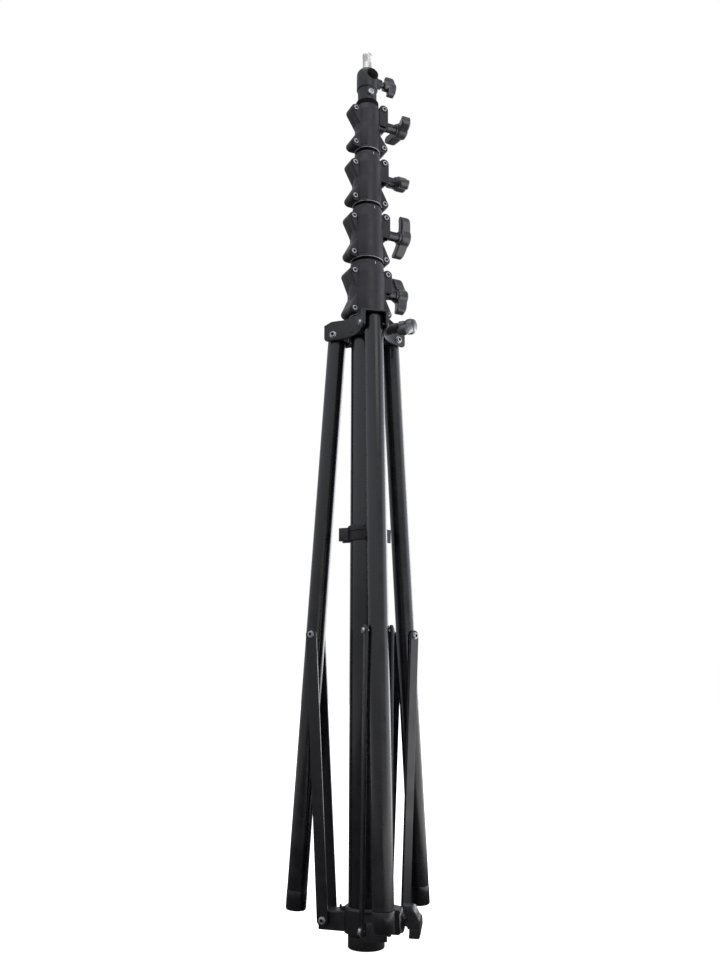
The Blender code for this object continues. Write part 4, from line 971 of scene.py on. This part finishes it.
def makeClipRing():
    # Band with a proud upper rim, and three clips drawn in plan: a C whose mouth is an arc
    bore, bottom, top = stand["tubeRadii"][0] + stand["gap"], clip["bottom"], clip["top"]
    outer, step = bore + clip["wall"], top - clip["bandHeight"]
    band = rounded([(bore, top, 0.5), (outer, top, 1), (outer, step, 0.8), (outer - 1.2, step - 0.6, 0.3),
                    (outer - 1.2, bottom, 0.8), (bore, bottom, 0.5)])
    parts = [("ring", turned(band, 96))]
    half, mouth, lip, end = clip["half"], clip["mouth"], clip["lip"], clip["reach"]
    plan = np.concatenate([[(27.5, -half), (end - 1.5, -half)],
                           arc((end - lip, -(half + mouth) / 2), lip, -90, 90, 6),
                           arc((outer + 4.5, 0), mouth, -90, -270, 16),
                           arc((end - lip, (half + mouth) / 2), lip, -90, 90, 6),
                           [(end - 1.5, half), (27.5, half)]])
    parts += [moved(slab(plan, bottom + 1.5, top - 1.5, 0.6, steps=2, flat=0.2), facing(azimuth))
              for azimuth in stand["legAzimuths"]]
    piece("clip_band", "glassNylon", parts, "clip_ring")


makeSpider()
makeLowerCollar()
makeClipRing()
print("castings made")


# Stage, light and camera, in metres

stage = {
    "floorHalf": 30.0, "floorGlow": 1.0,
    # The light table's strength nearby, on the right and far off on the left, and where along X it changes
    "tableDim": 0.09, "tableBright": 1.9, "tableEdge": (0.50, 1.10), "farGlow": 0.45, "farEdge": (-2.6, -1.4),
    "wallBelow": 0.12, "wallAbove": 0.60, "rise": (-0.17, 0.22),
    "glows": [  # azimuth, ramp of the cosine, strength, ramp of the height, share left above it
        (104, (0.70, 0.92), 1.3, (0.12, 0.50), 0.55),
        (141, (0.90, 0.96), 3.0, (0.30, 0.65), 0),
        (310, (0.20, 0.95), 0.30, (0.32, 0.10), 0)],
    "lamps": [  # name, place, aim, width, height, watts
        ("window", (1.1, -2.0, 2.5), (0, 0, 0.95), 1.5, 1.3, 8),
        ("overhead", (-0.3, -0.6, 3.0), (0, 0, 0.9), 1.2, 1.2, 8)],
}
view = {"eye": (0, -1.4354, 0.3531), "pitch": 13.01, "yaw": -0.43, "roll": -0.1615, "lens": 46.21}


def makeFloor():
    # The paper stands on a light table: the camera sees it white, and as light on the stand it is dim, but
    # bright on the right and a little brighter far off on the left
    floor = bpy.data.meshes.new("floor")
    half = stage["floorHalf"]
    floor.from_pydata([(-half, -half, 0), (half, -half, 0), (half, half, 0), (-half, half, 0)], [],
                      [(0, 1, 2, 3)])
    ground = bpy.data.objects.new("floor", floor)
    bpy.context.scene.collection.objects.link(ground)
    paper = bpy.data.materials.new("palePaper")
    paper.use_nodes = True
    tree = paper.node_tree
    shader = tree.nodes["Principled BSDF"]
    place = addNode(tree, "TexCoord", {}).outputs["Object"]
    fibre = addNode(tree, "TexNoise", {"Scale": perMetre(60), "Detail": 3, "Vector": place})
    tone = addNode(tree, "Mix", {"data_type": "RGBA", 0: fibre.outputs["Fac"], 6: linear("#f6f6f6"),
                                 7: linear("#fbfbfb")})
    tree.links.new(tone.outputs[2], shader.inputs["Base Color"])
    shader.inputs["Roughness"].default_value = 0.9
    shader.inputs["Specular IOR Level"].default_value = 0.1
    shader.inputs["Emission Color"].default_value = (1, 1, 1, 1)
    shader.inputs["Emission Strength"].default_value = stage["floorGlow"]
    floor.materials.append(paper)
    across = addNode(tree, "SeparateXYZ", {0: place}).outputs["X"]
    near, far = [addNode(tree, "MapRange", {
        "interpolation_type": "SMOOTHSTEP", "From Min": ends[0], "From Max": ends[1], "To Min": low,
        "To Max": high, "Value": across}).outputs[0] for ends, low, high in (
            (stage["tableEdge"], stage["tableDim"], stage["tableBright"]),
            (stage["farEdge"], stage["farGlow"], 0))]
    both = addNode(tree, "Math", {"operation": "ADD", 0: near, 1: far}).outputs[0]
    table = addNode(tree, "Emission", {"Strength": both})
    seenByCamera(tree, table, shader, "Material Output")


def seenByCamera(tree, asLight, asSeen, output):
    # One shader for camera rays and another for all the rest
    choice = addNode(tree, "MixShader", {0: addNode(tree, "LightPath", {}).outputs["Is Camera Ray"],
                                         1: asLight.outputs[0], 2: asSeen.outputs[0]})
    tree.links.new(choice.outputs[0], tree.nodes[output].inputs["Surface"])


def makeWalls():
    # The studio's walls are white where the camera sees them. As light on the stand they are dark low down
    # and grow brighter with the height of the direction. To that come the glows, which draw the tubes' rims:
    # each is a ramp of the cosine to its azimuth's direction, times one that falls off with height
    world = bpy.data.worlds.new("studio")
    world.use_nodes = True
    air = world.node_tree
    backdrop = air.nodes["Background"]
    backdrop.inputs["Color"].default_value = (1, 1, 1, 1)
    backdrop.inputs["Strength"].default_value = 1.0
    direction = addNode(air, "TexCoord", {}).outputs["Generated"]
    height = addNode(air, "SeparateXYZ", {0: direction}).outputs["Z"]
    smooth, (low, high) = {"interpolation_type": "SMOOTHSTEP"}, stage["rise"]
    strength = addNode(air, "MapRange", {**smooth, "From Min": low, "From Max": high,
                                         "To Min": stage["wallBelow"], "To Max": stage["wallAbove"],
                                         "Value": height}).outputs[0]
    for azimuth, (low, high), power, (full, faded), above in stage["glows"]:
        towards = addNode(air, "VectorMath", {"operation": "DOT_PRODUCT", 0: direction,
                                              1: armPoint(azimuth, 1, 0)}).outputs["Value"]
        facingIt = addNode(air, "MapRange", {**smooth, "From Min": low, "From Max": high, "To Max": power,
                                             "Value": towards}).outputs[0]
        fall = addNode(air, "MapRange", {**smooth, "From Min": full, "From Max": faded, "To Min": 1,
                                         "To Max": above, "Value": height}).outputs[0]
        glow = addNode(air, "Math", {"operation": "MULTIPLY", 0: facingIt, 1: fall}).outputs[0]
        strength = addNode(air, "Math", {"operation": "ADD", 0: strength, 1: glow}).outputs[0]
    walls = addNode(air, "Background", {"Color": linear("#f4f6ff"), "Strength": strength})
    seenByCamera(air, walls, backdrop, "World Output")
    bpy.context.scene.world = world
    bpy.context.scene.view_settings.view_transform = "Standard"


def makeLampsAndCamera():
    # A lamp shines along its own -Z, so it is turned by the tilt and the heading of the line to its aim
    for name, spot, aim, width, height, power in stage["lamps"]:
        light = bpy.data.lights.new(name, "AREA")
        light.shape = "RECTANGLE"
        light.size, light.size_y = width, height
        light.energy = power
        lamp = bpy.data.objects.new(name, light)
        lamp.location = spot
        direction = np.array(aim) - np.array(spot)
        lamp.rotation_euler = (math.atan2(math.hypot(direction[0], direction[1]), -direction[2]), 0,
                               math.atan2(direction[1], direction[0]) - math.pi / 2)
        bpy.context.scene.collection.objects.link(lamp)

    camera = bpy.data.objects.new("camera", bpy.data.cameras.new("camera"))
    camera.data.sensor_fit = "HORIZONTAL"
    camera.data.sensor_width = 36
    camera.data.lens = view["lens"]
    camera.data.clip_end = 100
    camera.matrix_world = (Matrix.Translation(view["eye"])
                           @ Matrix.Rotation(math.radians(-view["yaw"]), 4, "Z")
                           @ Matrix.Rotation(math.radians(90 + view["pitch"]), 4, "X")
                           @ Matrix.Rotation(math.radians(-view["roll"]), 4, "Z"))
    bpy.context.scene.collection.objects.link(camera)
    bpy.context.scene.camera = camera


makeFloor()
makeWalls()
makeLampsAndCamera()
print("stage, light and camera made")
